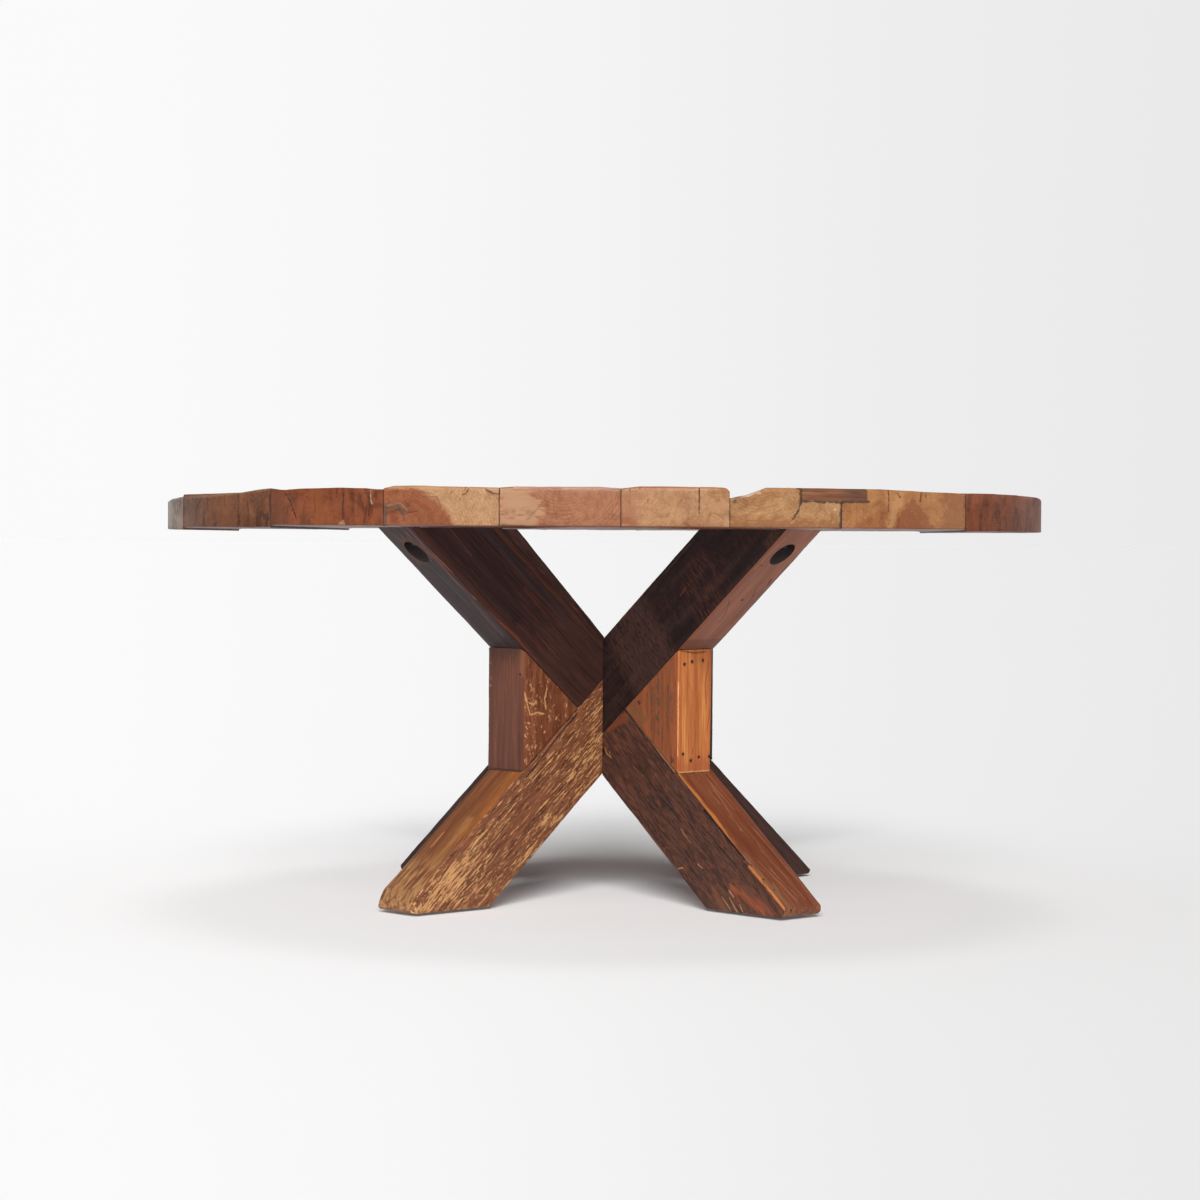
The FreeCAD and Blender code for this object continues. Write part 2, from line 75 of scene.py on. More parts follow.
class Finish:
    """A finish in the making. Each step adds one node and hands back its result. Sizes are in metres, but
    marks are drawn in millimetres; colours are given as they look on the piece, 0 to 255 a channel."""

    HAZE, DARKEST = 0.055, 0.0012  # the light that a full sheen adds, and the least that any wood gives back
    WAVES_PER_MM, GRIT_MIDDLE, GRIT_REACH = 0.09, 0.46, 2.6  # how a mark wavers, and how its edge is fretted
    SINK = 1.5  # how deep a sunk mark lies, in heights of the relief

    def __init__(self, name, centre=(0, 0, 0), turn=(0, 0, 0), lit=1.2, gloss=0.3, home=None):
        self.lit, self.gloss, self.sunk = lit, gloss, 0.0
        self.material = home or bpy.data.materials.new(name)
        self.material.use_nodes = True
        self.nodes = self.material.node_tree.nodes
        where = self.nodes.new("ShaderNodeTexCoord").outputs["Generated" if home else "Object"]
        self.place = self.step("Mapping", {"Vector": where, "Location": centre, "Rotation": turn},
                               vector_type="TEXTURE")
        apart = self.nodes.new("ShaderNodeSeparateXYZ")
        self.join(self.place, apart.inputs[0])
        self.x, self.y, self.z = apart.outputs

    def join(self, value, socket):
        if isinstance(value, bpy.types.NodeSocket):
            self.material.node_tree.links.new(value, socket)
        else:
            socket.default_value = value

    def step(self, kind, plugs, output=0, **settings):
        node = self.nodes.new("ShaderNode" + kind)
        for key, value in settings.items():
            setattr(node, key, value)
        for key, value in plugs.items():
            self.join(value, node.inputs[key])
        return node.outputs[output]

    def own(self, colour):
        """The piece's own colour, without the light that falls on it and its sheen."""
        if isinstance(colour, bpy.types.NodeSocket):
            return colour
        shares = [channel / 255 for channel in colour]
        lights = [share / 12.92 if share < 0.04045 else ((share + 0.055) / 1.055) ** 2.4 for share in shares]
        return (*[max(light - self.HAZE * self.gloss, self.DARKEST) / self.lit for light in lights], 1.0)

    def sum(self, operation, a, b=0.0, c=0.0):
        return self.step("Math", {0: a, 1: b, 2: c}, operation=operation)

    def both(self, a, b):
        return self.sum("MULTIPLY", a, b)

    def rise(self, value, low, high):
        """0 below low, 1 above high, smooth between; the other way round if low is the larger."""
        return self.step("MapRange", {"Value": value, "From Min": low, "From Max": high},
                         interpolation_type="SMOOTHSTEP")

    def band(self, value, middle, half, soft):
        """1 within half of the middle, falling to 0 over soft."""
        away = self.sum("ABSOLUTE", self.sum("SUBTRACT", value, middle))
        return self.rise(away, half + soft, half)

    def cloud(self, per_metre, detail=2.0, roughness=0.5, bend=0.0, shift=0.0):
        """Noise with so many waves a metre along each axis, about 0.5."""
        spread = self.step("Mapping", {"Vector": self.place, "Scale": per_metre,
                                       "Location": (shift, shift, shift)})
        return self.step("TexNoise", {"Vector": spread, "Scale": 1.0, "Detail": detail,
                                      "Roughness": roughness, "Distortion": bend})

    def blend(self, amount, under, over, mode="MIX"):
        return self.step("Mix", {0: amount, 6: self.own(under), 7: self.own(over)}, output=2,
                         data_type="RGBA", blend_type=mode)

    def tone(self, amount, base, *factor):
        """The same colour, darker or lighter by a factor."""
        return self.step("Mix", {0: amount, 6: self.own(base), 7: (*factor, 1.0)}, output=2,
                         data_type="RGBA", blend_type="MULTIPLY")

    def ramp(self, value, *stops):
        node = self.nodes.new("ShaderNodeValToRGB")
        elements = node.color_ramp.elements
        for position, _ in stops[2:]:
            elements.new(position)
        for element, (position, colour) in zip(elements, stops):
            element.position, element.color = position, self.own(colour)
        self.join(value, node.inputs[0])
        return node.outputs[0]

    def stroke(self, axes, path, half, soft, shake=0.0, grit=None):
        """1 along a path of points in millimetres on two axes, falling to 0 over soft; one point is a dot.
        Grit, a noise, frets its edges and breaks it where it is thin."""
        def spot(pair):
            return Vector([pair[axes.index(axis)] if axis in axes else 0.0 for axis in "xyz"])
        here = self.step("VectorMath", {0: self.place, 1: 1000 * spot((1, 1))}, operation="MULTIPLY")
        if shake:
            waves = self.step("TexNoise", {"Vector": here, "Scale": self.WAVES_PER_MM, "Detail": 3.0},
                              output=1)
            waves = self.step("VectorMath", {0: waves, 1: 2 * shake * spot((1, 1)), 2: -shake * spot((1, 1))},
                              operation="MULTIPLY_ADD")
            here = self.step("VectorMath", {0: here, 1: waves}, operation="ADD")
        nearest = None
        for start, end in zip(path, path[1:] or path):
            along = spot(end) - spot(start)
            gap = self.step("VectorMath", {0: here, 1: spot(start)}, operation="SUBTRACT")
            if along.length:
                share = self.step("VectorMath", {0: gap, 1: along / along.length_squared}, 1,
                                  operation="DOT_PRODUCT")
                share = self.step("Math", {0: share, 1: 0.0}, operation="ADD", use_clamp=True)
                part = self.step("VectorMath", {0: along, "Scale": share}, operation="SCALE")
                gap = self.step("VectorMath", {0: gap, 1: part}, operation="SUBTRACT")
            far = self.step("VectorMath", {0: gap}, 1, operation="LENGTH")
            nearest = far if nearest is None else self.sum("MINIMUM", nearest, far)
        if grit is not None:
            fret = self.sum("SUBTRACT", grit, self.GRIT_MIDDLE)
            nearest = self.sum("MULTIPLY_ADD", fret, self.GRIT_REACH * (half + soft), nearest)
        return self.rise(nearest, half + soft, half)

    def draw(self, base, axes, where, marks, grain=(24, 170, 170), shake=1.2):
        """Draws marks where a face carries them. Each mark is its path, half width, soft edge, colour and
        strength, and how far it is sunk, if it is."""
        grit = self.cloud(grain, 3.0, 0.65, 0.0, 6.5)
        for path, half, soft, colour, strength, *sunk in marks:
            mark = self.both(self.stroke(axes, path, half, soft, shake, grit), self.both(where, strength))
            base = self.blend(mark, base, colour)
            if sunk:
                self.sunk = self.sum("MAXIMUM", self.sunk, self.both(mark, sunk[0]))
        return base

    def rings(self, across, up, middle, width, wander, shift=0.0):
        """Distance from the pith, and the growth rings as a saw-tooth from 0 to 1."""
        drift = self.both(self.sum("SUBTRACT", self.cloud(wander[0], 2.0, 0.5, 0.0, shift), 0.5), wander[1])
        a = self.sum("SUBTRACT", across, middle[0])
        b = self.sum("SUBTRACT", up, middle[1])
        far = self.sum("SQRT", self.sum("ADD", self.both(a, a), self.both(b, b)))
        far = self.sum("ADD", far, drift)
        return far, self.sum("FRACT", self.sum("DIVIDE", far, width))

    def done(self, colour, roughness, height, relief, **shader):
        """Plugs the colour, the roughness and the relief, in metres, into the shader."""
        plugs = self.nodes["Principled BSDF"].inputs
        self.join(self.own(colour), plugs["Base Color"])
        self.join(roughness, plugs["Roughness"])
        plugs["Specular IOR Level"].default_value = self.gloss
        height = self.sum("SUBTRACT", height, self.both(self.sunk, self.SINK))
        self.join(self.step("Bump", {"Height": height, "Distance": relief, "Strength": 1.0}), plugs["Normal"])
        for key, value in shader.items():
            plugs[key.replace("_", " ")].default_value = value
        return self.material


def pick_up(piece):
    """Makes one piece the only one that is selected."""
    bpy.ops.object.select_all(action="DESELECT")
    piece.select_set(True)
    bpy.context.view_layer.objects.active = piece


def choose(kind, wanted):
    """In edit mode, selects only the faces or edges that answer to wanted."""
    bpy.ops.mesh.select_mode(type=kind)
    bpy.ops.mesh.select_all(action="DESELECT")
    mesh = bpy.context.edit_object.data
    shape = bmesh.from_edit_mesh(mesh)
    for part in {"FACE": shape.faces, "EDGE": shape.edges}[kind]:
        if wanted(part):
            part.select_set(True)
    shape.select_flush_mode()
    bmesh.update_edit_mesh(mesh)


def runs(edge, axis):
    """Whether an edge lies along an axis."""
    step = edge.verts[1].co - edge.verts[0].co
    return abs(step[axis]) > 0.9 * step.length


def saw(point, outwards, keep_both=False):
    """In edit mode, saws along a plane and closes the cut; what lies on its outward side falls off."""
    bpy.ops.mesh.select_all(action="SELECT")
    bpy.ops.mesh.bisect(plane_co=point, plane_no=outwards, use_fill=not keep_both, clear_outer=not keep_both)


def round_over(corner, one, other, radius, steps=3):
    """In edit mode, planes the corner between two faces round, by facets that touch the arc."""
    one, other = Vector(one).normalized(), Vector(other).normalized()
    centre = Vector(corner) - radius * (one + other) / (1 + one.dot(other))
    for number in range(steps):
        facing = one.slerp(other, (number + 0.5) / steps)
        saw(centre + radius * facing, facing)


def wear(piece, depth, size, stretch=(1, 1, 1), group="", middle=1.0, direction="NORMAL"):
    """Wears a surface unevenly, down to a depth, in patches of about a size."""
    guide = bpy.data.objects.new("wear_guide", None)
    bpy.context.scene.collection.objects.link(guide)
    guide.scale = stretch
    guide.location = [chance.uniform(-9, 9) for _ in range(3)]
    bpy.context.view_layer.update()
    patches = bpy.data.textures.new("wear", "CLOUDS")
    patches.noise_scale = size
    patches.noise_depth = 2
    worn = piece.modifiers.new("wear", "DISPLACE")
    worn.texture, worn.texture_coords, worn.texture_coords_object = patches, "OBJECT", guide
    worn.strength, worn.mid_level, worn.direction, worn.vertex_group = depth, middle, direction, group
    pick_up(piece)
    bpy.ops.object.modifier_apply(modifier=worn.name)
    bpy.data.objects.remove(guide)


def take_away(piece, cutters):
    """Cuts other shapes out of a piece, and clears them away."""
    pick_up(cutters[0])
    for cutter in cutters:
        cutter.select_set(True)
    if len(cutters) > 1:
        bpy.ops.object.join()
    tool = bpy.context.active_object
    hollow = piece.modifiers.new("hollow", "BOOLEAN")
    hollow.operation, hollow.solver, hollow.object = "DIFFERENCE", "EXACT", tool
    hollow.use_self = len(cutters) > 1
    pick_up(piece)
    bpy.ops.object.modifier_apply(modifier=hollow.name)
    bpy.data.objects.remove(tool)


def outward(turn, reach, height=0.0, side=0.0):
    """A point so far out from the middle of the table towards a corner, and to the side of that line."""
    return Vector((reach * math.cos(turn) - side * math.sin(turn),
                   reach * math.sin(turn) + side * math.cos(turn), height))


def sawn_timber(name, lean, turn, roughness, extra=0.0):
    """A timber through the crossing, longer than it needs to be; lean is the fall towards its corner."""
    half = HALF_WIDTH + extra / 2
    bpy.ops.object.select_all(action="DESELECT")
    bpy.ops.mesh.primitive_cube_add(size=1, scale=(1.5, 2 * half, 2 * HALF_DEPTH),
                                    location=(0, -extra / 2, 0))
    timber = bpy.context.active_object
    timber.name = name
    bpy.ops.object.transform_apply()
    bpy.ops.object.mode_set(mode="EDIT")
    choose("EDGE", lambda edge: runs(edge, 0))
    bpy.ops.mesh.bevel(offset=0.004, segments=3, affect="EDGES")
    for cuts in CUTS_ALONG:
        choose("EDGE", lambda edge: runs(edge, 0))
        bpy.ops.mesh.subdivide(number_cuts=cuts)
    for axis, cuts in ((1, CUTS_ACROSS), (2, CUTS_DOWN)):
        choose("EDGE", lambda edge: runs(edge, axis) and edge.calc_length() > 0.05)
        bpy.ops.mesh.subdivide(number_cuts=cuts)
    bpy.ops.object.mode_set(mode="OBJECT")
    arrises = timber.vertex_groups.new(name="arrises")
    arrises.add([v.index for v in timber.data.vertices
                 if abs(v.co.y + extra / 2) > half - ARRIS and abs(v.co.z) > HALF_DEPTH - ARRIS],
                1.0, "REPLACE")
    wear(timber, 0.0010, 0.06, (6, 1, 1))
    wear(timber, roughness, 0.008, (5, 1, 1))
    wear(timber, 0.0013, 0.02, (3, 1, 1), "arrises")
    timber.rotation_euler = (0, lean, turn)
    timber.location = (0, 0, CROSSING)
    pick_up(timber)
    bpy.ops.object.transform_apply()
    bpy.ops.object.mode_set(mode="EDIT")
    saw((0, 0, UNDER_TOP), (0, 0, 1))
    saw((0, 0, UNDER_FEET), (0, 0, -1))
    return timber


def shape_foot(turn, toe, heel_radius=0.004, toe_radius=0.006, toe_steps=3):
    """In edit mode, trims the foot that points towards a corner: upright toe, edges eased."""
    out, up = outward(turn, 1), Vector((0, 0, 1))
    above = out * math.sin(SLOPE) + up * math.cos(SLOPE)
    half_upright = HALF_DEPTH / math.cos(SLOPE)
    saw(outward(turn, toe), out)
    round_over(outward(turn, toe, UNDER_FEET), out, -up, 0.012)
    tip = CROSSING + half_upright - toe * math.tan(SLOPE)
    round_over(outward(turn, toe, tip), above, out, toe_radius, toe_steps)
    heel = (CROSSING - half_upright - UNDER_FEET) / math.tan(SLOPE)
    round_over(outward(turn, heel, UNDER_FEET), -above, -up, heel_radius, 4)


def bore_for_bolt(arm, turn):
    """Drills the counterbore up into the sloping outer face of an arm."""
    bpy.ops.object.select_all(action="DESELECT")
    bpy.ops.mesh.primitive_cylinder_add(vertices=48, radius=BORE_RADIUS, depth=BORE_DEPTH,
                                        location=outward(turn, BORE, BORE_MIDDLE))
    bit = bpy.context.active_object
    bpy.ops.object.transform_apply()
    bpy.ops.object.mode_set(mode="EDIT")
    choose("FACE", lambda face: face.normal.z > 0.9)
    bpy.ops.mesh.inset(thickness=0.004)
    bpy.ops.object.mode_set(mode="OBJECT")
    take_away(arm, [bit])


def cut_lap(brace, lean, side):
    """Cuts half of one long brace away where the other one crosses it."""
    bpy.ops.object.select_all(action="DESELECT")
    bpy.ops.mesh.primitive_cube_add(size=1, scale=(0.8, LAP_WASTE, 2 * HALF_DEPTH + 2 * FIT))
    waste = bpy.context.active_object
    bpy.ops.object.transform_apply(location=False, rotation=False)
    waste.rotation_euler = (0, lean, THROUGH)
    waste.location = outward(THROUGH, 0, CROSSING, side * LAP_WASTE_SIDE)
    bpy.ops.object.transform_apply()
    take_away(brace, [waste])


def dress(piece, faces, *nodes, slot, body="root"):
    for material, _ in faces:
        piece.data.materials.append(material)
    pick_up(piece)
    bpy.ops.object.mode_set(mode="EDIT")
    bpy.ops.mesh.select_all(action="SELECT")
    bpy.ops.mesh.remove_doubles(threshold=0.00002)
    choose("EDGE", lambda edge: edge.is_boundary)
    bpy.ops.mesh.fill_holes(sides=0)
    for number, (_, wanted) in enumerate(faces):
        if wanted:
            choose("FACE", wanted)
            piece.active_material_index = number
            bpy.ops.object.material_slot_assign()
    bpy.ops.object.mode_set(mode="OBJECT")
    bpy.ops.object.shade_smooth_by_angle(angle=math.radians(32))
    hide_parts(*nodes)
    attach(piece, body)


def flecked_side(name, lean, turn):
    """Old sawn face, weathered so that pale flecks stand out of red-brown wood, with grooves along it."""
    f = Finish(name, (0, 0, CROSSING), (0, lean, turn), 1.13, 0.2)
    streak = f.cloud((6, 80, 80), 3.0, 0.6)
    base = f.ramp(streak, (0.3, (104, 65, 49)), (0.45, (124, 78, 57)), (0.6, (138, 88, 63)),
                  (0.75, (150, 99, 70)))
    fine = f.cloud((26, 380, 380), 3.0, 0.65, 0.25)
    base = f.blend(f.both(f.rise(fine, 0.49, 0.38), 0.85), base, (72, 46, 38))
    bundle = f.cloud((5, 16, 16), 2.0, 0.5, 0.0, 4.0)
    level = f.sum("MULTIPLY_ADD", bundle, -0.2, 0.655)
    level = f.sum("ADD", level, f.both(f.rise(f.z, 0.045, 0.058), 0.05))
    foot = f.both(f.rise(f.x, 0.40, 0.52), f.rise(f.z, -0.03, 0.03))
    level = f.sum("SUBTRACT", level, f.both(foot, 0.06))
    fleck = f.cloud((38, 350, 350), 3.0, 0.6, 0.5, 2.0)
    curl = f.cloud((85, 260, 260), 3.0, 0.6, 1.2, 7.0)
    pale = f.sum("MAXIMUM", f.rise(f.sum("SUBTRACT", fleck, level), 0.0, 0.07),
                 f.both(f.rise(f.sum("SUBTRACT", curl, level), 0.06, 0.1), 0.9))
    base = f.blend(f.both(pale, 0.9), base, (212, 160, 108))
    base = f.draw(base, "xz", f.rise(f.y, 0.0, 0.02), [
        ([(95, 61), (160, 61.5), (212, 56.5), (262, 55)], 0.9, 1.4, (64, 52, 46), 0.85, 1),
        ([(100, 69.5), (170, 70), (230, 69)], 0.7, 1.2, (72, 56, 46), 0.8, 1),
        ([(300, 44), (380, 41), (452, 43)], 0.5, 1.2, (78, 54, 44), 0.7, 1),
        ([(262, -22), (330, -27), (394, -25)], 0.6, 1.4, (70, 46, 38), 0.6, 1),
        ([(410, 12), (486, 8), (540, 11)], 0.6, 1.4, (80, 54, 44), 0.6, 1),
    ])
    height = f.sum("ADD", f.both(fine, 0.5), f.both(fleck, 0.8))
    return f.done(base, f.sum("MULTIPLY_ADD", streak, 0.3, 0.38), height, 0.0014)


def golden_face(name, lean, turn):
    """Upper face of a leg, rubbed golden by shoes, with a darker outer edge and an orange streak."""
    f = Finish(name, (0, 0, CROSSING), (0, lean, turn), 1.33, 0.2)
    streak = f.cloud((3, 60, 60), 3.0, 0.6)
    base = f.ramp(streak, (0.32, (116, 72, 50)), (0.5, (136, 87, 60)), (0.7, (152, 102, 68)))
    base = f.blend(f.both(f.rise(f.y, -0.030, -0.042), 0.7), base, (94, 64, 52))
    base = f.draw(base, "xy", f.rise(f.z, 0.0, 0.03), [
        ([(150, 30), (270, 33), (343, 35), (404, 37), (440, 36)], 0.5, 15.0, (186, 112, 54), 0.7),
        ([(150, -14), (300, -10), (430, -18)], 0.5, 10.0, (112, 70, 50), 0.5),
        ([(434, -20), (473, -19)], 0.8, 1.6, (196, 148, 104), 0.8),
        ([(320, -31), (470, -34)], 0.6, 2.0, (150, 98, 66), 0.6),
        ([(330, -4), (395, -8)], 0.6, 1.5, (96, 62, 47), 0.6, 1),
        ([(400, 20), (470, 24), (520, 26)], 5.0, 12.0, (184, 130, 82), 0.6),
    ])
    toe = f.both(f.rise(f.x, 0.46, 0.56), f.rise(f.cloud((30, 150, 150), 3.0, 0.6, 0.5), 0.36, 0.62))
    base = f.blend(f.both(toe, 0.9), base, (190, 144, 98))
    fine = f.cloud((12, 380, 380), 2.0)
    base = f.blend(f.both(f.rise(fine, 0.5, 0.36), 0.5), base, (98, 62, 46))
    return f.done(base, f.sum("MULTIPLY_ADD", streak, 0.3, 0.3), fine, 0.0005)


def red_brown_side(name, lean, turn):
    """Deep brown side: a browner band along the upper edge, a blue-grey one under it, and red wood below."""
    f = Finish(name, (0, 0, CROSSING), (0, lean, turn), 1.1, 0.12)
    streak = f.cloud((2.4, 70, 70), 4.0, 0.6, 0.15, 1.0)
    base = f.ramp(streak, (0.3, (42, 31, 31)), (0.48, (48, 35, 34)), (0.6, (54, 38, 35)),
                  (0.75, (68, 45, 39)))
    base = f.blend(f.both(f.band(f.z, 0.057, 0.0015, 0.004), 0.35), base, (92, 58, 42))
    base = f.blend(f.both(f.band(f.z, 0.0385, 0.005, 0.008), 0.25), base, (60, 54, 58))
    base = f.blend(f.both(f.rise(f.z, -0.05, -0.068), 0.45), base, (84, 50, 40))
    red = f.both(f.rise(f.cloud((20, 90, 90), 3.0, 0.6, 0.3, 5.0), 0.48, 0.64), f.rise(f.x, 0.42, 0.16))
    base = f.blend(f.both(red, 0.35), base, (88, 52, 43))
    base = f.blend(f.both(f.rise(f.x, 0.32, 0.18), 0.5), base, (72, 51, 46))
    base = f.draw(base, "xz", f.both(f.rise(f.y, 0.0, 0.02), f.rise(f.x, 0.0, 0.1)), [
        ([(397, -70), (334, -68), (302, -64), (225, -66)], 0.5, 3.0, (112, 60, 46), 0.6),
        ([(250, 12), (330, 18)], 0.5, 7.0, (80, 46, 39), 0.5),
        ([(150, -40), (300, -44)], 0.5, 9.0, (82, 48, 41), 0.5),
        ([(470, -18), (560, -12)], 0.5, 1.4, (84, 60, 54), 0.6),
        ([(180, -30), (260, -26)], 0.5, 1.4, (96, 58, 46), 0.6),
        ([(400, 26), (480, 27)], 0.5, 1.2, (30, 22, 22), 0.8, 1),
    ])
    fine = f.cloud((14, 430, 430), 3.0, 0.6)
    base = f.blend(f.both(f.rise(fine, 0.54, 0.68), 0.3), base, (82, 54, 46))
    base = f.blend(f.both(f.rise(fine, 0.47, 0.36), 0.5), base, (35, 27, 27))
    return f.done(base, f.sum("MULTIPLY_ADD", streak, -0.2, 0.5), fine, 0.0005)


def hazy_face(name, lean, turn):
    """Underside of an arm: brown gone grey, with red and blue-grey streaks along one edge."""
    f = Finish(name, (0, 0, CROSSING), (0, lean, turn), 0.68, 0.15)
    streak = f.cloud((3, 75, 75), 4.0, 0.6)
    base = f.ramp(streak, (0.3, (42, 34, 35)), (0.5, (53, 43, 43)), (0.7, (63, 51, 49)))
    base = f.draw(base, "xy", f.both(f.rise(f.z, 0.0, -0.03), f.rise(f.x, 0.0, 0.1)), [
        ([(613, 17), (572, 26.5), (527, 36), (460, 34.5), (407, 42.6)], 0.3, 2.4, (132, 72, 55), 0.7),
        ([(613, 36.4), (564, 37.8), (519, 43.2), (480, 47)], 0.3, 2.4, (132, 72, 55), 0.7),
        ([(593, -18), (477, 3), (393, 9)], 1.0, 3.0, (54, 57, 64), 0.7),
        ([(600, 28), (500, 22), (330, 26)], 1.0, 3.0, (38, 32, 34), 0.6),
        ([(536, 0), (560, 0)], 26.0, 5.0, (92, 58, 42), 0.6),
        ([(520, -30), (430, -26), (330, -20)], 0.5, 1.6, (52, 42, 43), 0.7, 1),
        ([(400, 26), (300, 24)], 0.8, 2.0, (104, 70, 62), 0.6),
    ])
    fine = f.cloud((18, 420, 420), 2.0)
    base = f.blend(f.both(f.rise(fine, 0.48, 0.34), 0.5), base, (50, 42, 43))
    return f.done(base, 0.5, fine, 0.0005)


def dark_side(name, lean, turn):
    """Dark face with reddish patches where the old skin has worn through."""
    f = Finish(name, (0, 0, CROSSING), (0, lean, turn), 1.1, 0.12)
    streak = f.cloud((4, 50, 50), 3.0, 0.6, 0.2, 2.0)
    base = f.ramp(streak, (0.3, (46, 35, 34)), (0.5, (60, 44, 41)), (0.66, (76, 54, 49)))
    worn = f.rise(f.cloud((9, 30, 30), 3.0, 0.6, 0.4, 6.0), 0.54, 0.66)
    base = f.blend(f.both(worn, 0.7), base, (98, 62, 48))
    fine = f.cloud((24, 400, 400), 3.0, 0.6)
    base = f.blend(f.both(f.rise(fine, 0.5, 0.36), 0.7), base, (34, 26, 27))
    return f.done(base, f.sum("MULTIPLY_ADD", streak, 0.2, 0.4), fine, 0.0008)


def bored_wood(turn):
    """Rusty brown wall of a counterbore, with the rings that the bit left, and the test for its faces."""
    f = Finish(f"bored_wood_{math.degrees(turn) % 360:.0f}", lit=0.3, gloss=0.05)
    turns = f.cloud((14, 14, 420), 2.0, 0.6, 0.3)
    base = f.ramp(turns, (0.35, (62, 42, 33)), (0.6, (84, 57, 43)))
    base = f.blend(f.rise(f.z, 0.575, 0.6), base, (34, 30, 30))
    middle = outward(turn, BORE)
    return (f.done(base, 0.6, turns, 0.0005),
            lambda face: math.dist(face.calc_center_median()[:2], middle[:2]) < BORE_RADIUS + 0.0001)


def is_flat(turn):
    """Whether a face is a side of its X-frame rather than an upper, lower or cut one."""
    across = outward(turn, 0, 0, 1)
    return lambda face: abs(face.normal.dot(across)) > 0.5


falling = sawn_timber("long_brace_flecked", SLOPE, THROUGH, 0.0010)
shape_foot(THROUGH, TOE_FRONT_LEFT, toe_radius=0.075, toe_steps=6)
round_over(outward(THROUGH, TOE_FRONT_LEFT, 0, HALF_WIDTH), outward(THROUGH, 1), outward(THROUGH, 0, 0, 1),
           0.022, 5)
bpy.ops.object.mode_set(mode="OBJECT")
cut_lap(falling, -SLOPE, -1)
bore_for_bolt(falling, THROUGH + math.pi)
dress(falling, [(golden_face("golden_leg_face", SLOPE, THROUGH), None),
                (flecked_side("flecked_leg_side", SLOPE, THROUGH), is_flat(THROUGH)),
                bored_wood(THROUGH + math.pi)],
      "long_brace_front_left_foot", slot="flecked_timber")

rising = sawn_timber("long_brace_brown", -SLOPE, THROUGH, 0.0005)
shape_foot(THROUGH + math.pi, TOE_BACK_RIGHT)
bpy.ops.object.mode_set(mode="OBJECT")
cut_lap(rising, SLOPE, 1)
bore_for_bolt(rising, THROUGH)
dress(rising, [(hazy_face("hazy_arm_face", -SLOPE, THROUGH), None),
               (red_brown_side("red_brown_arm_side", -SLOPE, THROUGH), is_flat(THROUGH)),
               bored_wood(THROUGH)],
      "long_brace_back_right_foot", slot="brown_timber")


# ---- Butted timbers ----------------------------------------------------------------------------------
# Four timbers of the same section that make the other X, from front right to back left. They end against
# the long braces, and the lower front and upper back one are cut along the edge of the timber they meet.

TOE_BACK_LEFT, TOE_FRONT_RIGHT = 0.5267, 0.51938
BACK_LEFT_EXTRA = 0.014  # how much wider the back left leg is, on its left


def black_side(name, lean, turn):
    """Near-black skin scratched across by a scrub plane, so that orange-red wood glints through."""
    f = Finish(name, (0, 0, CROSSING), (0, lean, turn), 1.12, 0.12)
    streak = f.cloud((5, 45, 45), 3.0, 0.6, 0.0, 3.0)
    base = f.ramp(streak, (0.3, (36, 29, 30)), (0.52, (45, 35, 34)), (0.7, (57, 43, 40)))
    bundle = f.stroke("xz", [(390, -58), (390, -12)], 34, 34, 8)
    low = f.stroke("xz", [(190, -60), (190, 28)], 44, 40, 8)
    area = f.sum("MAXIMUM", f.both(bundle, 0.9), f.both(low, 0.8))
    area = f.sum("MAXIMUM", area, f.both(f.rise(f.cloud((9, 20, 20), 2.0, 0.5, 0.0, 9.0), 0.5, 0.7), 0.5))
    stroke = f.rise(f.cloud((400, 44, 44), 2.0, 0.6, 0.25, 1.0), 0.52, 0.68)
    base = f.blend(f.both(f.both(area, stroke), 0.8), base, (92, 50, 38))
    scrub = f.rise(f.cloud((150, 26, 26), 3.0, 0.6, 0.8, 5.0), 0.5, 0.66)
    base = f.blend(f.both(f.both(scrub, area), 0.5), base, (84, 50, 41))
    base = f.blend(f.both(low, 0.4), base, (80, 60, 55))
    base = f.draw(base, "xz", f.both(f.rise(f.y, 0.0, -0.02), f.rise(f.x, 0.0, 0.1)), [
        ([(330, 3), (350, 7)], 0.3, 2.5, (116, 56, 40), 0.6),
        ([(585, -60), (560, -64)], 4.0, 9.0, (72, 49, 39), 0.6),
        ([(300, 60), (420, 62)], 0.5, 1.5, (72, 54, 48), 0.6),
        ([(150, 66), (260, 67)], 0.8, 1.8, (96, 64, 50), 0.6),
    ])
    fine = f.cloud((250, 70, 70), 3.0, 0.6, 0.3)
    base = f.blend(f.both(f.rise(fine, 0.5, 0.36), 0.5), base, (31, 25, 26))
    return f.done(base, f.sum("MULTIPLY_ADD", streak, 0.2, 0.42), fine, 0.0007)


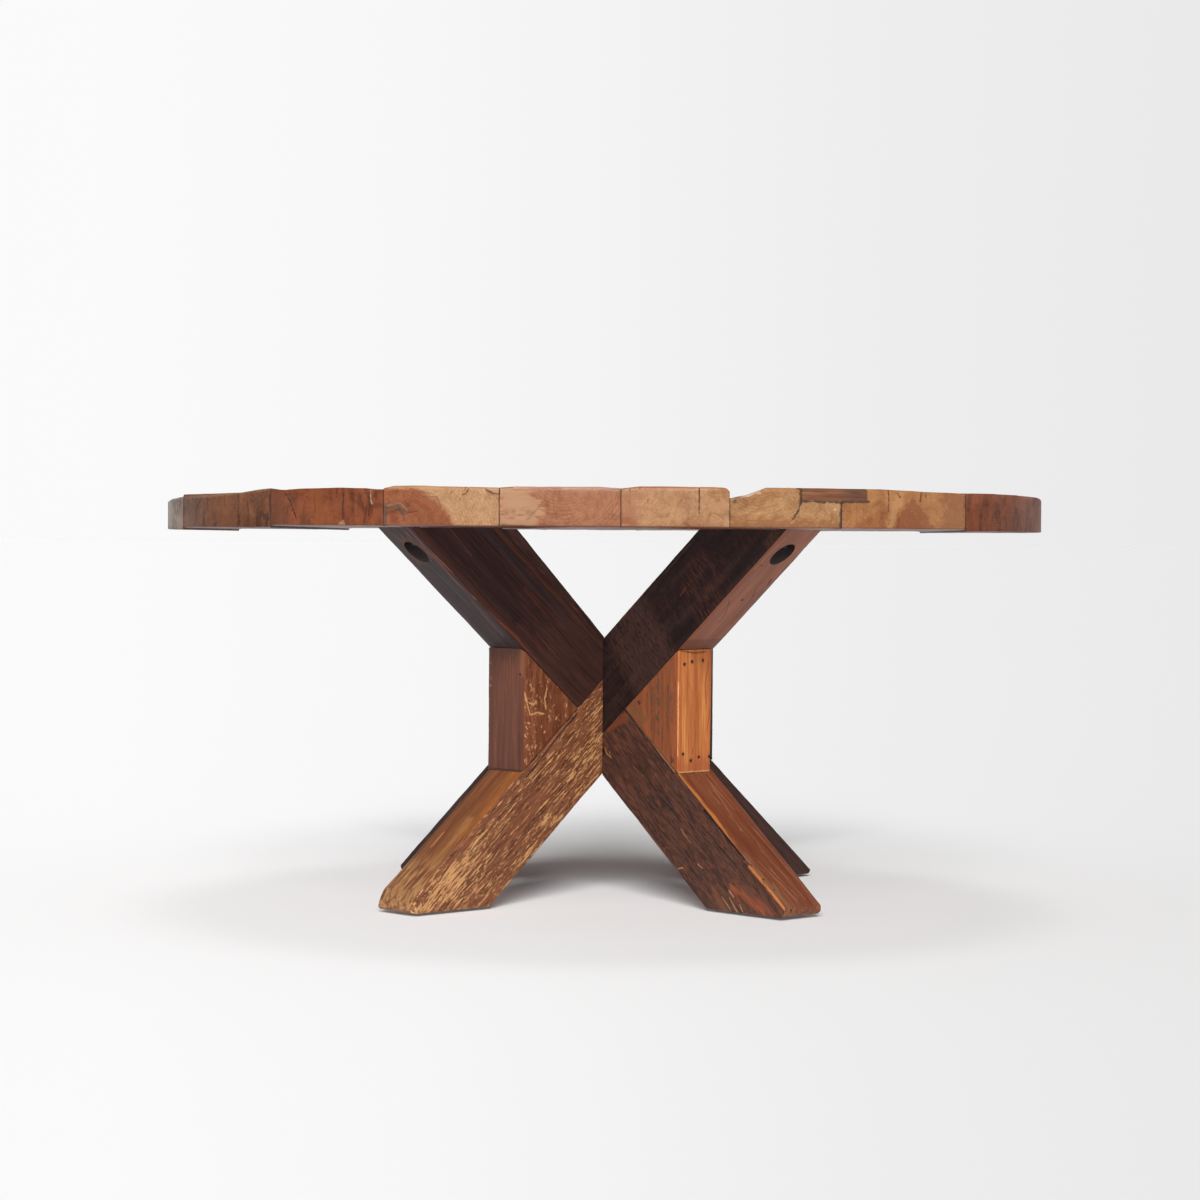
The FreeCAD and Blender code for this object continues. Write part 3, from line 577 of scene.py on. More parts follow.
def smooth_face(name, lean, turn):
    """Outer face of an arm, planed smooth: pinkish brown, a darker edge and a darker band by the block."""
    f = Finish(name, (0, 0, CROSSING), (0, lean, turn), 0.68, 0.2)
    streak = f.cloud((4, 38, 38), 3.0, 0.55, 0.3, 2.0)
    base = f.ramp(streak, (0.3, (106, 64, 50)), (0.5, (119, 74, 56)), (0.7, (134, 86, 66)))
    base = f.blend(f.both(f.band(f.x, 0.277, 0.015, 0.004), 0.7), base, (92, 58, 49))
    base = f.draw(base, "xy", f.both(f.rise(f.z, 0.0, -0.03), f.rise(f.x, 0.0, 0.1)), [
        ([(600, 46), (549, 47), (482, 43), (430, 42), (380, 46)], 4.0, 6.0, (94, 64, 57), 0.8),
        ([(511, -29)], 1.8, 1.8, (48, 30, 25), 1.0, 2),
        ([(411, 2)], 1.6, 1.8, (48, 30, 25), 1.0, 2),
        ([(412, -32), (376, -11), (355, -5), (344, -6)], 0.5, 1.6, (70, 43, 36), 0.8, 1),
        ([(465, 12), (438, 14), (420, 21)], 0.5, 1.6, (84, 52, 42), 0.7, 1),
        ([(470, 30), (455, 34)], 1.5, 2.5, (62, 42, 36), 0.7, 1),
        ([(430, 24), (340, 30)], 0.6, 2.5, (92, 60, 50), 0.6),
        ([(590, -30), (500, -38)], 1.2, 4.0, (140, 94, 72), 0.6),
    ])
    fine = f.cloud((14, 330, 330), 2.0)
    base = f.blend(f.both(f.rise(fine, 0.5, 0.34), 0.45), base, (102, 64, 53))
    return f.done(base, 0.42, fine, 0.0003)


def patched_side(name, lean, turn):
    """Brown-black face with orange-red streaks and patches, palest near the foot, with a knot and a wedge."""
    f = Finish(name, (0, 0, CROSSING), (0, lean, turn), 1.14, 0.2)
    streak = f.cloud((13, 100, 100), 4.0, 0.65, 0.3, 4.0)
    base = f.ramp(streak, (0.3, (62, 46, 43)), (0.48, (76, 55, 49)), (0.62, (90, 62, 53)),
                  (0.76, (110, 71, 57)))
    slant = f.both(f.rise(f.cloud((34, 75, 75), 4.0, 0.65, 1.6, 5.0), 0.53, 0.64), 0.55)
    base = f.blend(slant, base, (122, 70, 51))
    paler = f.both(f.rise(f.x, 0.42, 0.58), 0.25)
    base = f.blend(paler, base, (136, 88, 66))
    fine = f.cloud((38, 380, 380), 3.0, 0.65, 0.3)
    base = f.blend(f.both(f.rise(fine, 0.53, 0.66), 0.35), base, (136, 86, 64))
    base = f.blend(f.both(f.rise(fine, 0.48, 0.36), 0.7), base, (44, 33, 31))
    cut = (42, 31, 29)
    base = f.draw(base, "xz", f.both(f.rise(f.y, 0.0, -0.02), f.rise(f.x, 0.0, 0.06)), [
        ([(72, 6), (96, 56)], 6.0, 7.0, (122, 70, 50), 0.7),
        ([(92, -24), (104, -29), (115, -26), (106, -22)], 0.4, 2.6, (162, 118, 86), 0.7),
        ([(86, -30), (96, -36)], 2.5, 4.0, (46, 33, 31), 0.8, 1),
        ([(357, 65), (381, 66), (436, 65.5), (488, 67)], 0.7, 1.6, cut, 0.9, 2),
        ([(500, 8), (535, 18), (580, 26)], 1.0, 12.0, (160, 86, 56), 0.7),
        ([(560, 36), (600, 40)], 0.5, 9.0, (150, 82, 56), 0.6),
        ([(470, -30), (560, -40)], 1.0, 14.0, (132, 86, 64), 0.5),
        ([(505, -12), (560, -22)], 0.4, 2.0, (184, 138, 100), 0.6),
        ([(491, -24), (523, -27)], 0.4, 1.8, (186, 140, 104), 0.6),
        ([(497, -2.5), (512, -3)], 0.8, 1.2, (190, 144, 108), 0.7),
        ([(532, -3), (546, -8)], 0.8, 1.2, (190, 144, 108), 0.7),
        ([(409, -21), (422, -19)], 0.8, 1.2, (180, 128, 92), 0.7),
        ([(378, -62), (385, -53)], 0.8, 1.5, (180, 128, 92), 0.7),
        ([(337, -2), (370, -5)], 0.6, 1.5, (152, 100, 72), 0.7),
        ([(505, 65), (560, 67), (619, 67)], 1.0, 3.0, (206, 124, 68), 0.8),
        ([(495, 58), (560, 58), (600, 52)], 2.0, 6.0, (52, 38, 34), 0.5),
        ([(240, -71), (385, -70)], 1.0, 2.0, (140, 90, 64), 0.7),
        ([(240, -66), (385, -65)], 0.5, 1.2, (130, 84, 62), 0.6),
        ([(84, 69.5), (256, 66.5)], 0.8, 1.2, (158, 118, 86), 0.7),
        ([(84, 66), (256, 62.5)], 0.8, 1.2, cut, 0.8, 1),
        ([(180, 10), (260, 6), (330, 9)], 0.6, 1.6, cut, 0.7, 1),
        ([(410, 40), (500, 44)], 0.6, 1.6, cut, 0.7, 1),
    ])
    return f.done(base, f.sum("MULTIPLY_ADD", streak, 0.2, 0.42), fine, 0.001)


def worn_face(name, lean, turn):
    """Upper face of a leg, red-brown with dotted pale streaks, golden along its worn left edge."""
    f = Finish(name, (0, 0, CROSSING), (0, lean, turn), 1.31, 0.2)
    streak = f.cloud((4, 60, 60), 3.0, 0.6, 0.0, 6.0)
    base = f.ramp(streak, (0.3, (112, 64, 47)), (0.5, (126, 74, 54)), (0.7, (142, 87, 64)))
    dots = f.both(f.rise(f.cloud((40, 300, 300), 2.0, 0.6), 0.56, 0.66),
                  f.rise(f.cloud((3, 80, 80), 2.0, 0.5, 0.0, 2.0), 0.48, 0.6))
    base = f.blend(f.both(dots, 0.5), base, (168, 122, 94))
    fine = f.cloud((16, 360, 360), 2.0)
    base = f.blend(f.both(f.rise(fine, 0.5, 0.34), 0.4), base, (92, 54, 42))
    base = f.draw(base, "xy", f.both(f.rise(f.z, 0.0, 0.03), f.rise(f.x, 0.0, 0.06)), [
        ([(120, -46), (270, -45), (374, -44), (449, -48)], 0.5, 11.0, (198, 124, 66), 0.8),
        ([(449, -47), (623, -47)], 0.6, 2.5, (204, 128, 70), 0.75),
        ([(480, -46), (540, -42), (623, -34)], 1.0, 14.0, (142, 108, 80), 0.55),
        ([(505, -44)], 1.2, 1.5, (70, 48, 40), 0.9, 1),
        ([(570, -38)], 1.2, 1.5, (70, 48, 40), 0.9, 1),
        ([(542, -42)], 1.8, 1.5, (54, 38, 32), 0.9, 2),
        ([(618, -30)], 1.8, 1.5, (54, 38, 32), 0.9, 2),
        ([(283, 17), (368, 21)], 0.2, 1.8, (176, 128, 98), 0.55),
        ([(499, -20), (600, -5)], 0.3, 1.8, (176, 128, 98), 0.6),
        ([(520, -8), (590, 6)], 0.2, 1.8, (170, 122, 92), 0.5),
        ([(400, 30), (560, 36)], 0.2, 1.8, (176, 128, 98), 0.5),
        ([(470, 8), (600, 20)], 0.2, 1.8, (168, 118, 88), 0.5),
        ([(630, -40), (630, 40)], 4.0, 10.0, (180, 120, 76), 0.6),
        ([(262, 20), (300, 14), (420, -2)], 0.2, 1.8, (176, 130, 98), 0.45),
    ])
    return f.done(base, 0.4, fine, 0.0006)


def butted_timber(name, lean, side, beside=False, extra=0.0):
    """A timber of the second X, sawn off upright at the long braces, and along the timber beside it."""
    timber = sawn_timber(name, lean, BUTTED, 0.0006, extra)
    saw(outward(BUTTED, side * (HALF_WIDTH + FIT)), outward(BUTTED, -side))
    if beside:
        above = outward(BUTTED, -math.sin(SLOPE)) + Vector((0, 0, math.cos(SLOPE)))
        saw(Vector((0, 0, CROSSING)) - side * (HALF_DEPTH + FIT) * above, side * above)
    return timber


arm_front = butted_timber("arm_black", -SLOPE, 1)
bpy.ops.object.mode_set(mode="OBJECT")
bore_for_bolt(arm_front, BUTTED)
dress(arm_front, [(smooth_face("smooth_arm_face", -SLOPE, BUTTED), None),
                  (black_side("black_arm_side", -SLOPE, BUTTED), is_flat(BUTTED)), bored_wood(BUTTED)],
      "arm_front_right", slot="dark_timber")

leg_back = butted_timber("leg_dark_back", -SLOPE, -1, extra=BACK_LEFT_EXTRA)
shape_foot(BUTTED + math.pi, TOE_BACK_LEFT)
bpy.ops.object.mode_set(mode="OBJECT")
dress(leg_back, [(dark_side("dark_leg_face", -SLOPE, BUTTED), None),
                 (dark_side("dark_leg_side", -SLOPE, BUTTED), is_flat(BUTTED))],
      "leg_back_left", slot="dark_timber")

leg_front = butted_timber("leg_patched", SLOPE, 1, True)
shape_foot(BUTTED, TOE_FRONT_RIGHT, heel_radius=0.03)
bpy.ops.object.mode_set(mode="OBJECT")
dress(leg_front, [(worn_face("worn_leg_face", SLOPE, BUTTED), None),
                  (patched_side("patched_leg_side", SLOPE, BUTTED), is_flat(BUTTED))],
      "leg_front_right", slot="brown_timber")

arm_back = butted_timber("arm_brown_back", SLOPE, -1, True)
bpy.ops.object.mode_set(mode="OBJECT")
bore_for_bolt(arm_back, BUTTED + math.pi)
dress(arm_back, [(dark_side("dark_arm_face", SLOPE, BUTTED), None),
                 (dark_side("dark_arm_side", SLOPE, BUTTED), is_flat(BUTTED)), bored_wood(BUTTED + math.pi)],
      "arm_back_left", slot="brown_timber")


# ---- Knee blocks and their nails ---------------------------------------------------------------------
# A wedge of thick board fills the outer notch of each X and keeps its two timbers apart. It is nailed
# through its upright outer face, three nails above and four below, the heads punched under the surface.

NOTCH, KNEE, KNEE_LOW, KNEE_HIGH = 0.111307, 0.249977, 0.2465, 0.4735
NAIL_HOLE = 0.0031
NAILS =[(-32, 86.5), (-12, 90.5), (16, 92.5), (-34, -78.5), (-14, -91.5), (7, -85.5), (34, -85.5)]


def knee_block(name, turn, holes, right_arris=0.003, slant=None):
    """A wedge between two timbers, its outer edges worn, with its nail holes."""
    bpy.ops.object.select_all(action="DESELECT")
    bpy.ops.mesh.primitive_cube_add(size=1, scale=(KNEE - NOTCH, 2 * HALF_WIDTH, KNEE_HIGH - KNEE_LOW),
                                    location=((KNEE + NOTCH) / 2, 0, CROSSING))
    block = bpy.context.active_object
    block.name = name
    bpy.ops.object.transform_apply()
    bpy.ops.object.mode_set(mode="EDIT")
    if slant:
        saw((0, slant[0], CROSSING), (0, 1, -slant[1]))
    choose("EDGE", lambda edge: runs(edge, 2) and edge.verts[0].co.x > 0.2 and edge.verts[0].co.y < 0)
    bpy.ops.mesh.bevel(offset=0.003, segments=3, affect="EDGES")
    choose("EDGE", lambda edge: runs(edge, 2) and edge.verts[0].co.x > 0.2 and edge.verts[0].co.y > 0)
    bpy.ops.mesh.bevel(offset=right_arris, segments=4, affect="EDGES")
    for up in (1, -1):
        saw((NOTCH + 0.0003, 0, CROSSING), (-math.sin(SLOPE), 0, up * math.cos(SLOPE)))
    rows, columns, layer = 34, 20, 0.0062  # how finely the block is divided for the wear
    for number in range(1, rows):
        saw((0, 0, KNEE_LOW + number * (KNEE_HIGH - KNEE_LOW) / rows), (0, 0, 1), True)
    for number in range(1, columns):
        saw((NOTCH + number * (KNEE - NOTCH) / columns, 0, 0), (1, 0, 0), True)
    for number in range(-7, 8):
        saw((0, number * layer, 0), (0, 1, 0), True)
    bpy.ops.object.mode_set(mode="OBJECT")
    arrises = block.vertex_groups.new(name="arrises")
    arrises.add([v.index for v in block.data.vertices
                 if v.co.x > KNEE - 0.005 and abs(v.co.y) > HALF_WIDTH - 0.005], 1.0, "REPLACE")
    wear(block, 0.0008, 0.04, (1, 1, 4))
    wear(block, 0.0014, 0.014, (1, 1, 3), "arrises")
    bits = []
    for across, height in holes:
        bpy.ops.mesh.primitive_cylinder_add(vertices=16, radius=NAIL_HOLE, depth=0.02,
                                            rotation=(0, math.pi / 2, 0),
                                            location=(KNEE + 0.0074, across / 1000, CROSSING + height / 1000))
        bits.append(bpy.context.active_object)
    take_away(block, bits)
    block.rotation_euler = (0, 0, turn)
    pick_up(block)
    bpy.ops.object.transform_apply()
    return block


def knee_face(name, turn, lit, dark, middle, light, marks=()):
    """Upright outer face of a block, streaked from top to bottom, with its own marks."""
    f = Finish(name, (0, 0, CROSSING), (0, 0, turn), lit, 0.2)
    streak = f.cloud((70, 70, 4), 4.0, 0.62, 0.25, turn)
    base = f.ramp(streak, (0.34, dark), (0.5, middle), (0.66, light))
    fine = f.cloud((380, 380, 14), 2.0)
    base = f.blend(f.both(f.rise(fine, 0.5, 0.36), 0.5), base, dark)
    base = f.draw(base, "yz", f.rise(f.x, 0.2, 0.23), marks, (170, 170, 24))
    return f.done(base, f.sum("MULTIPLY_ADD", streak, 0.2, 0.34), fine, 0.0005)


def rooty_side(name, turn):
    """Side of the front left block: red-brown, with pale marks like fine roots and dashes between them."""
    f = Finish(name, (0, 0, CROSSING), (0, 0, turn), 1.14, 0.15)
    streak = f.cloud((60, 60, 7), 3.0, 0.6, 0.3)
    base = f.ramp(streak, (0.3, (94, 55, 40)), (0.5, (118, 70, 49)), (0.7, (142, 87, 60)))
    fine = f.cloud((330, 330, 40), 3.0, 0.6)
    base = f.blend(f.both(f.rise(fine, 0.5, 0.36), 0.6), base, (74, 44, 34))
    pale = (204, 150, 104)
    thick = f.both(f.rise(f.x, 0.15, 0.24), f.rise(f.z, 0.08, 0.03))
    vein = f.band(f.cloud((52, 52, 36), 3.0, 0.55, 0.8, 3.0), 0.5, 0.006, 0.012)
    breaks = f.cloud((120, 120, 90), 2.0, 0.5, 0.0, 8.0)
    broken = f.rise(f.sum("MULTIPLY_ADD", thick, 0.12, breaks), 0.54, 0.62)
    base = f.blend(f.both(f.both(vein, broken), 0.75), base, (190, 138, 98))
    seen = f.rise(f.y, 0.0, 0.02)
    roots = ([(245, 34), (238, 12), (231, -7)], [(233, 14), (222, 10), (214, 17)],
             [(227, -7.5), (210, -5), (196, -8.6)], [(189, 39), (194, 20), (191, 1)])
    dots = ((185, 49), (213, 27), (140, 5), (166, -19), (235, -23), (242, -46), (194, -41), (237, -65),
            (217, -69), (198, 13), (182, -2), (184, -14), (202, -31), (141, -14), (162, 40), (249, 8),
            (238, -34), (245, -58), (240, 4))
    marks = [(path, 0.8, 1.8, pale, 0.85) for path in roots]
    marks += [([(x, z), (x + 3 * math.sin(7.0 * x), z + 4 * math.cos(5.0 * z))], 0.6, 1.8, pale, 0.8)
              for x, z in dots]
    marks += [([(232, 99.4), (167, 51.7), (115, 2)], 1.2, 2.5, (88, 84, 68), 0.7)]
    base = f.draw(base, "xz", seen, marks, (170, 170, 90), 2.5)
    return f.done(base, 0.5, fine, 0.001)


def streaked_side(name, turn, light, middle, stripe, stripes=()):
    """Side of a block with upright, broken, greenish-grey stripes where it was once painted."""
    f = Finish(name, (0, 0, CROSSING), (0, 0, turn), 1.15, 0.15)
    streak = f.cloud((70, 70, 5), 3.0, 0.6, 0.3, 2.0)
    base = f.ramp(streak, (0.3, middle), (0.6, light))
    broken = f.rise(f.cloud((260, 260, 110), 3.0, 0.65, 0.6, 1.0), 0.4, 0.54)
    stray = f.both(f.rise(f.cloud((120, 120, 3), 2.0, 0.5, 0.0, 5.0), 0.55, 0.63), broken)
    base = f.blend(f.both(stray, 0.5), base, stripe)
    base = f.draw(base, "xz", f.both(broken, f.rise(f.y, 0.0, -0.02)), stripes, (200, 200, 60), 2.0)
    fine = f.cloud((330, 330, 16), 3.0, 0.6)
    base = f.blend(f.both(f.rise(fine, 0.5, 0.36), 0.4), base, stripe)
    return f.done(base, 0.48, fine, 0.0009)


root_flecks = [([(-43 + 2 * math.sin(z), z), (-42 + 3 * math.sin(2.3 * z), z - 3)],
                0.4, 1.5, (178, 134, 104), 0.6) for z in (85, 58, 44, 18, -9, -39)]
left_marks = root_flecks + [
    ([(-45, 108), (40, 108)], 8.0, 20.0, (80, 52, 43), 0.6),
    ([(-45, -111), (45, -111)], 1.0, 2.0, (66, 44, 38), 0.8),
    ([(38, -50), (40, -112)], 3.0, 9.0, (82, 52, 42), 0.4),
    ([(45, 112), (46, 66)], 2.0, 7.0, (142, 92, 64), 0.4),
]
hole = [([spot], 2.8, 3.0, (132, 72, 42), 0.6) for spot in NAILS]
crack = (146, 80, 48)
right_marks = hole + [
    ([(30, 112), (36, 0), (30, -112)], 8.0, 18.0, (184, 102, 56), 0.45),
    ([(-40, -104), (40, -104)], 10.0, 18.0, (160, 84, 54), 0.5),
    ([(32, 87), (23, 47.5), (26, 11)], 0.3, 1.6, crack, 0.75, 1),
    ([(36, 1), (27, -43)], 0.3, 1.6, crack, 0.75, 1),
    ([(-4, -17.5), (-1, -50.5), (-10, -78)], 0.3, 1.6, crack, 0.75, 1),
    ([(-19, 52), (-14, 32)], 0.3, 1.6, crack, 0.75, 1),
    ([(-47.5, 53), (-47.5, -81)], 1.2, 2.0, (234, 172, 122), 0.8),
    ([(-44.6, 112), (-10, 107), (25, 108.5)], 0.6, 1.8, (112, 62, 42), 0.8, 1),
    ([(-45, -112), (42, -112)], 0.8, 1.6, (220, 168, 122), 0.6),
]
green = (86, 72, 58)
orange_stripes = [
    ([(182, 40), (182, -36)], 2.0, 3.0, green, 0.8), ([(197, 76), (197, -43)], 2.8, 3.0, green, 0.95),
    ([(223, 45), (223, -34)], 2.0, 3.0, green, 0.8), ([(234, 33), (234, -17)], 1.6, 2.5, green, 0.7),
    ([(125, 11), (157, -17)], 9.0, 9.0, (112, 84, 60), 0.8), ([(147, 12)], 3.0, 3.0, (64, 44, 36), 0.9),
    ([(242, 60), (242, -40)], 0.6, 1.5, (150, 60, 36), 0.8), ([(235, -90)], 4.0, 4.0, (72, 46, 36), 0.8),
    ([(210, 60), (210, -70)], 1.0, 2.0, green, 0.6), ([(168, 30), (168, -20)], 1.2, 2.5, green, 0.6),
]
blocks = {
    "front_left": (225, knee_face("knee_face_red_brown", math.radians(225), 1.18,
                                  (90, 55, 45), (103, 64, 51), (118, 75, 59), left_marks),
                   rooty_side("knee_side_rooty", math.radians(225)),
                   "brown_block", ([(40.7, 65)], 0.009)),
    "front_right": (315, knee_face("knee_face_orange", math.radians(315), 1.17,
                                   (164, 90, 50), (189, 115, 64), (209, 141, 80), right_marks),
                    streaked_side("knee_side_orange", math.radians(315),
                                  (151, 87, 57), (127, 72, 49), green, orange_stripes),
                    "orange_block", (NAILS, 0.002, (0.0385, 0.0186))),
    "back_right": (45, knee_face("knee_face_dark_right", math.radians(45), 1.1,
                                 (50, 38, 35), (62, 48, 44), (76, 58, 52)),
                   streaked_side("knee_side_dark_right", math.radians(45),
                                 (80, 62, 56), (58, 46, 42), (44, 38, 36)),
                   "brown_block", (NAILS,)),
    "back_left": (135, knee_face("knee_face_dark_left", math.radians(135), 1.1,
                                 (58, 42, 38), (74, 54, 48), (92, 66, 56)),
                  streaked_side("knee_side_dark_left", math.radians(135),
                                (98, 66, 52), (74, 52, 44), (50, 42, 38)),
                  "brown_block", (NAILS,)),
}
for corner, (degrees, outer, side, slot, shape) in blocks.items():
    facing = outward(math.radians(degrees), 1)
    block = knee_block(f"wedge_{corner}", math.radians(degrees), *shape)
    dress(block, [(side, None), (outer, lambda face: face.normal.dot(facing) > 0.6)],
          f"knee_block_{corner}", slot=slot)

rust = Finish("oxidised_nail_steel", gloss=0.5)
mottle = rust.cloud((500, 500, 500), 3.0, 0.6)
rust.done(rust.ramp(mottle, (0.35, (62, 56, 54)), (0.55, (76, 66, 60)), (0.7, (106, 76, 62))),
          rust.sum("MULTIPLY_ADD", mottle, 0.4, 0.4), mottle, 0.0003, Metallic=0.7)
for corner in blocks:
    for seat in frame["nodes"][f"knee_nails_{corner}"].material_slots:
        seat.material = rust.material


# ---- Top ---------------------------------------------------------------------------------------------
# Nine thick reclaimed planks side by side, sawn to a round of 1.64 m and waxed. They were never planed
# level: each lies at its own height, and hand-worn edges, checks and old mortar-filled cracks are left.

ROUND, TOP_LEVEL, UNDERSIDE = 0.8214, 0.762, 0.6941
RIM_TURN = math.radians(-60.56)  # where the middle of the repair in the rim lies
# For each plank its left and right seam, underside, level, gaps in tenths of a millimetre, colours of sap and
# heart, pith, heart radius and ring width; then its top line, as places across and their heights
PLANKS = [
    (-0.900, -0.746, 0.6872, 0.748, (0, 2), (158, 139, 125), (138, 118, 104), (-0.80, 0.60), 0.10, 0.0050,
     ((-0.822, 0.741), (-0.800, 0.743), (-0.761, 0.7465), (-0.746, 0.748))),
    (-0.746, -0.553, 0.6907, 0.754, (2, 1), (128, 84, 61), (113, 72, 52), (-0.64, 0.60), 0.12, 0.0042,
     ((-0.746, 0.749), (-0.614, 0.7526), (-0.580, 0.7568), (-0.553, 0.7588))),
    (-0.553, -0.346, 0.6941, 0.757, (1, 3), (142, 81, 54), (128, 72, 48), (-0.47, 0.83), 0.10, 0.0046,
     ((-0.553, 0.7576), (-0.525, 0.7560), (-0.496, 0.7580), (-0.423, 0.7595), (-0.377, 0.7580),
      (-0.359, 0.7560), (-0.346, 0.7560))),
    (-0.346, -0.150, 0.6941, 0.760, (3, 5), (198, 153, 114), (160, 98, 68), (-0.345, 0.64), 0.1365, 0.0050,
     ((-0.346, 0.7578), (-0.330, 0.7618), (-0.276, 0.7620), (-0.216, 0.7602), (-0.150, 0.7590))),
    (-0.150, 0.049, 0.6941, 0.760, (5, 2), (173, 117, 86), (175, 119, 89), (-0.047, 0.7756), 0.045, 0.0058,
     ((-0.150, 0.7590), (-0.124, 0.7606), (0.015, 0.7608), (0.049, 0.7586))),
    (0.049, 0.227, 0.6941, 0.7612, (2, 2), (190, 143, 105), (182, 131, 95), (0.17, 0.66), 0.050, 0.0060,
     ((0.049, 0.7588), (0.080, 0.7620), (0.200, 0.7620), (0.216, 0.7616), (0.223, 0.7600), (0.227, 0.7540))),
    (0.227, 0.414, 0.6941, 0.7605, (2, 3), (190, 145, 103), (180, 131, 91), (0.28, 0.79), 0.060, 0.0052,
     ((0.227, 0.7440), (0.252, 0.7492), (0.273, 0.7568), (0.287, 0.7618), (0.333, 0.7620), (0.345, 0.7596),
      (0.414, 0.7608))),
    (0.414, 0.636, 0.6941, 0.760, (3, 2), (186, 130, 86), (172, 112, 72), (0.50, 0.66), 0.070, 0.0054,
     ((0.414, 0.7614), (0.421, 0.7616), (0.425, 0.7584), (0.430, 0.7616), (0.480, 0.7620), (0.560, 0.7592),
      (0.636, 0.7580))),
    (0.636, 0.900, 0.6912, 0.758, (2, 0), (144, 86, 61), (134, 77, 53), (0.70, 0.62), 0.120, 0.0044,
     ((0.636, 0.7580), (0.685, 0.7594), (0.736, 0.7586), (0.774, 0.7564), (0.800, 0.7540), (0.822, 0.7500))),
]


def rough_round():
    """A round board with worn rims, its two faces divided so that they can be worn."""
    bpy.ops.object.select_all(action="DESELECT")
    bpy.ops.mesh.primitive_cylinder_add(vertices=600, radius=ROUND, depth=TOP_LEVEL - UNDERSIDE,
                                        location=(0, 0, (TOP_LEVEL + UNDERSIDE) / 2))
    board = bpy.context.active_object
    board.name = "round_board"
    bpy.ops.object.transform_apply()
    bpy.ops.object.mode_set(mode="EDIT")
    choose("EDGE", lambda edge: edge.verts[0].co.z > 0.75 and edge.verts[1].co.z > 0.75)
    bpy.ops.mesh.bevel(offset=0.0065, segments=3, affect="EDGES")
    choose("EDGE", lambda edge: edge.verts[0].co.z < 0.7 and edge.verts[1].co.z < 0.7)
    bpy.ops.mesh.bevel(offset=0.003, segments=2, affect="EDGES")
    choose("EDGE", lambda edge: runs(edge, 2) and edge.calc_length() > 0.03)
    bpy.ops.mesh.subdivide(number_cuts=8)
    wide, long = 0.016, 0.0252  # the fields that the two faces are divided into
    for column in range(-51, 52):
        choose("FACE", lambda face: abs(face.normal.z) > 0.995)
        bpy.ops.mesh.bisect(plane_co=(column * wide, 0, 0), plane_no=(1, 0, 0))
    for row in range(-32, 33):
        choose("FACE", lambda face: abs(face.normal.z) > 0.995)
        bpy.ops.mesh.bisect(plane_co=(0, row * long, 0), plane_no=(0, 1, 0))
    bpy.ops.object.mode_set(mode="OBJECT")
    return board


def front_end(x, end=-1):
    """Where the end grain of the top lies at a distance from its middle line."""
    return end * math.sqrt(max(ROUND**2 - x**2, 0.0))


def check_blade(x, high, low, width, lean=0.0, reach=0.06, end=-1):
    """The space of one drying check: a thin wedge let into a plank's end, closing inwards and downwards."""
    rim = front_end(x, end)
    bpy.ops.object.select_all(action="DESELECT")
    bpy.ops.mesh.primitive_cube_add(size=1, scale=(width, reach + 0.02, high - low),
                                    location=(x, rim - end * (reach - 0.02) / 2, (high + low) / 2))
    blade = bpy.context.active_object
    bpy.ops.object.transform_apply()
    bpy.ops.object.mode_set(mode="EDIT")
    choose("FACE", lambda face: face.normal.z < -0.9)
    bpy.ops.transform.resize(value=(0.35, 1, 1), center_override=(x, rim, low))
    bpy.ops.transform.translate(value=(lean, 0, 0))
    choose("FACE", lambda face: face.normal.y * end < -0.9)
    bpy.ops.transform.resize(value=(0.1, 1, 0.3), center_override=(x + lean / 3, rim, high))
    bpy.ops.object.mode_set(mode="OBJECT")
    return blade


FRONT_CHECKS = {
    3: [(-0.524, 0.7555, 0.706, 0.0010, 0.020), (-0.429, 0.766, 0.743, 0.0006),
        (-0.402, 0.766, 0.748, 0.0007), (-0.368, 0.766, 0.733, 0.0014, 0.001, 0.10)],
    4: [(-0.202, 0.768, 0.7470, 0.0014, -0.008), (-0.173, 0.766, 0.7475, 0.0018, 0.018)],
    6: [(0.064, 0.7615, 0.7535, 0.0010, 0.0), (0.080, 0.766, 0.757, 0.0009, 0.0),
        (0.177, 0.768, 0.7370, 0.0014, 0.0, 0.12)],
    7: [(0.345, 0.768, 0.7390, 0.0020, 0.0, 0.14)],
    8: [(0.495, 0.768, 0.7400, 0.0008), (0.511, 0.768, 0.7480, 0.0009, 0.004),
        (0.554, 0.768, 0.7420, 0.0008, -0.002)],
}


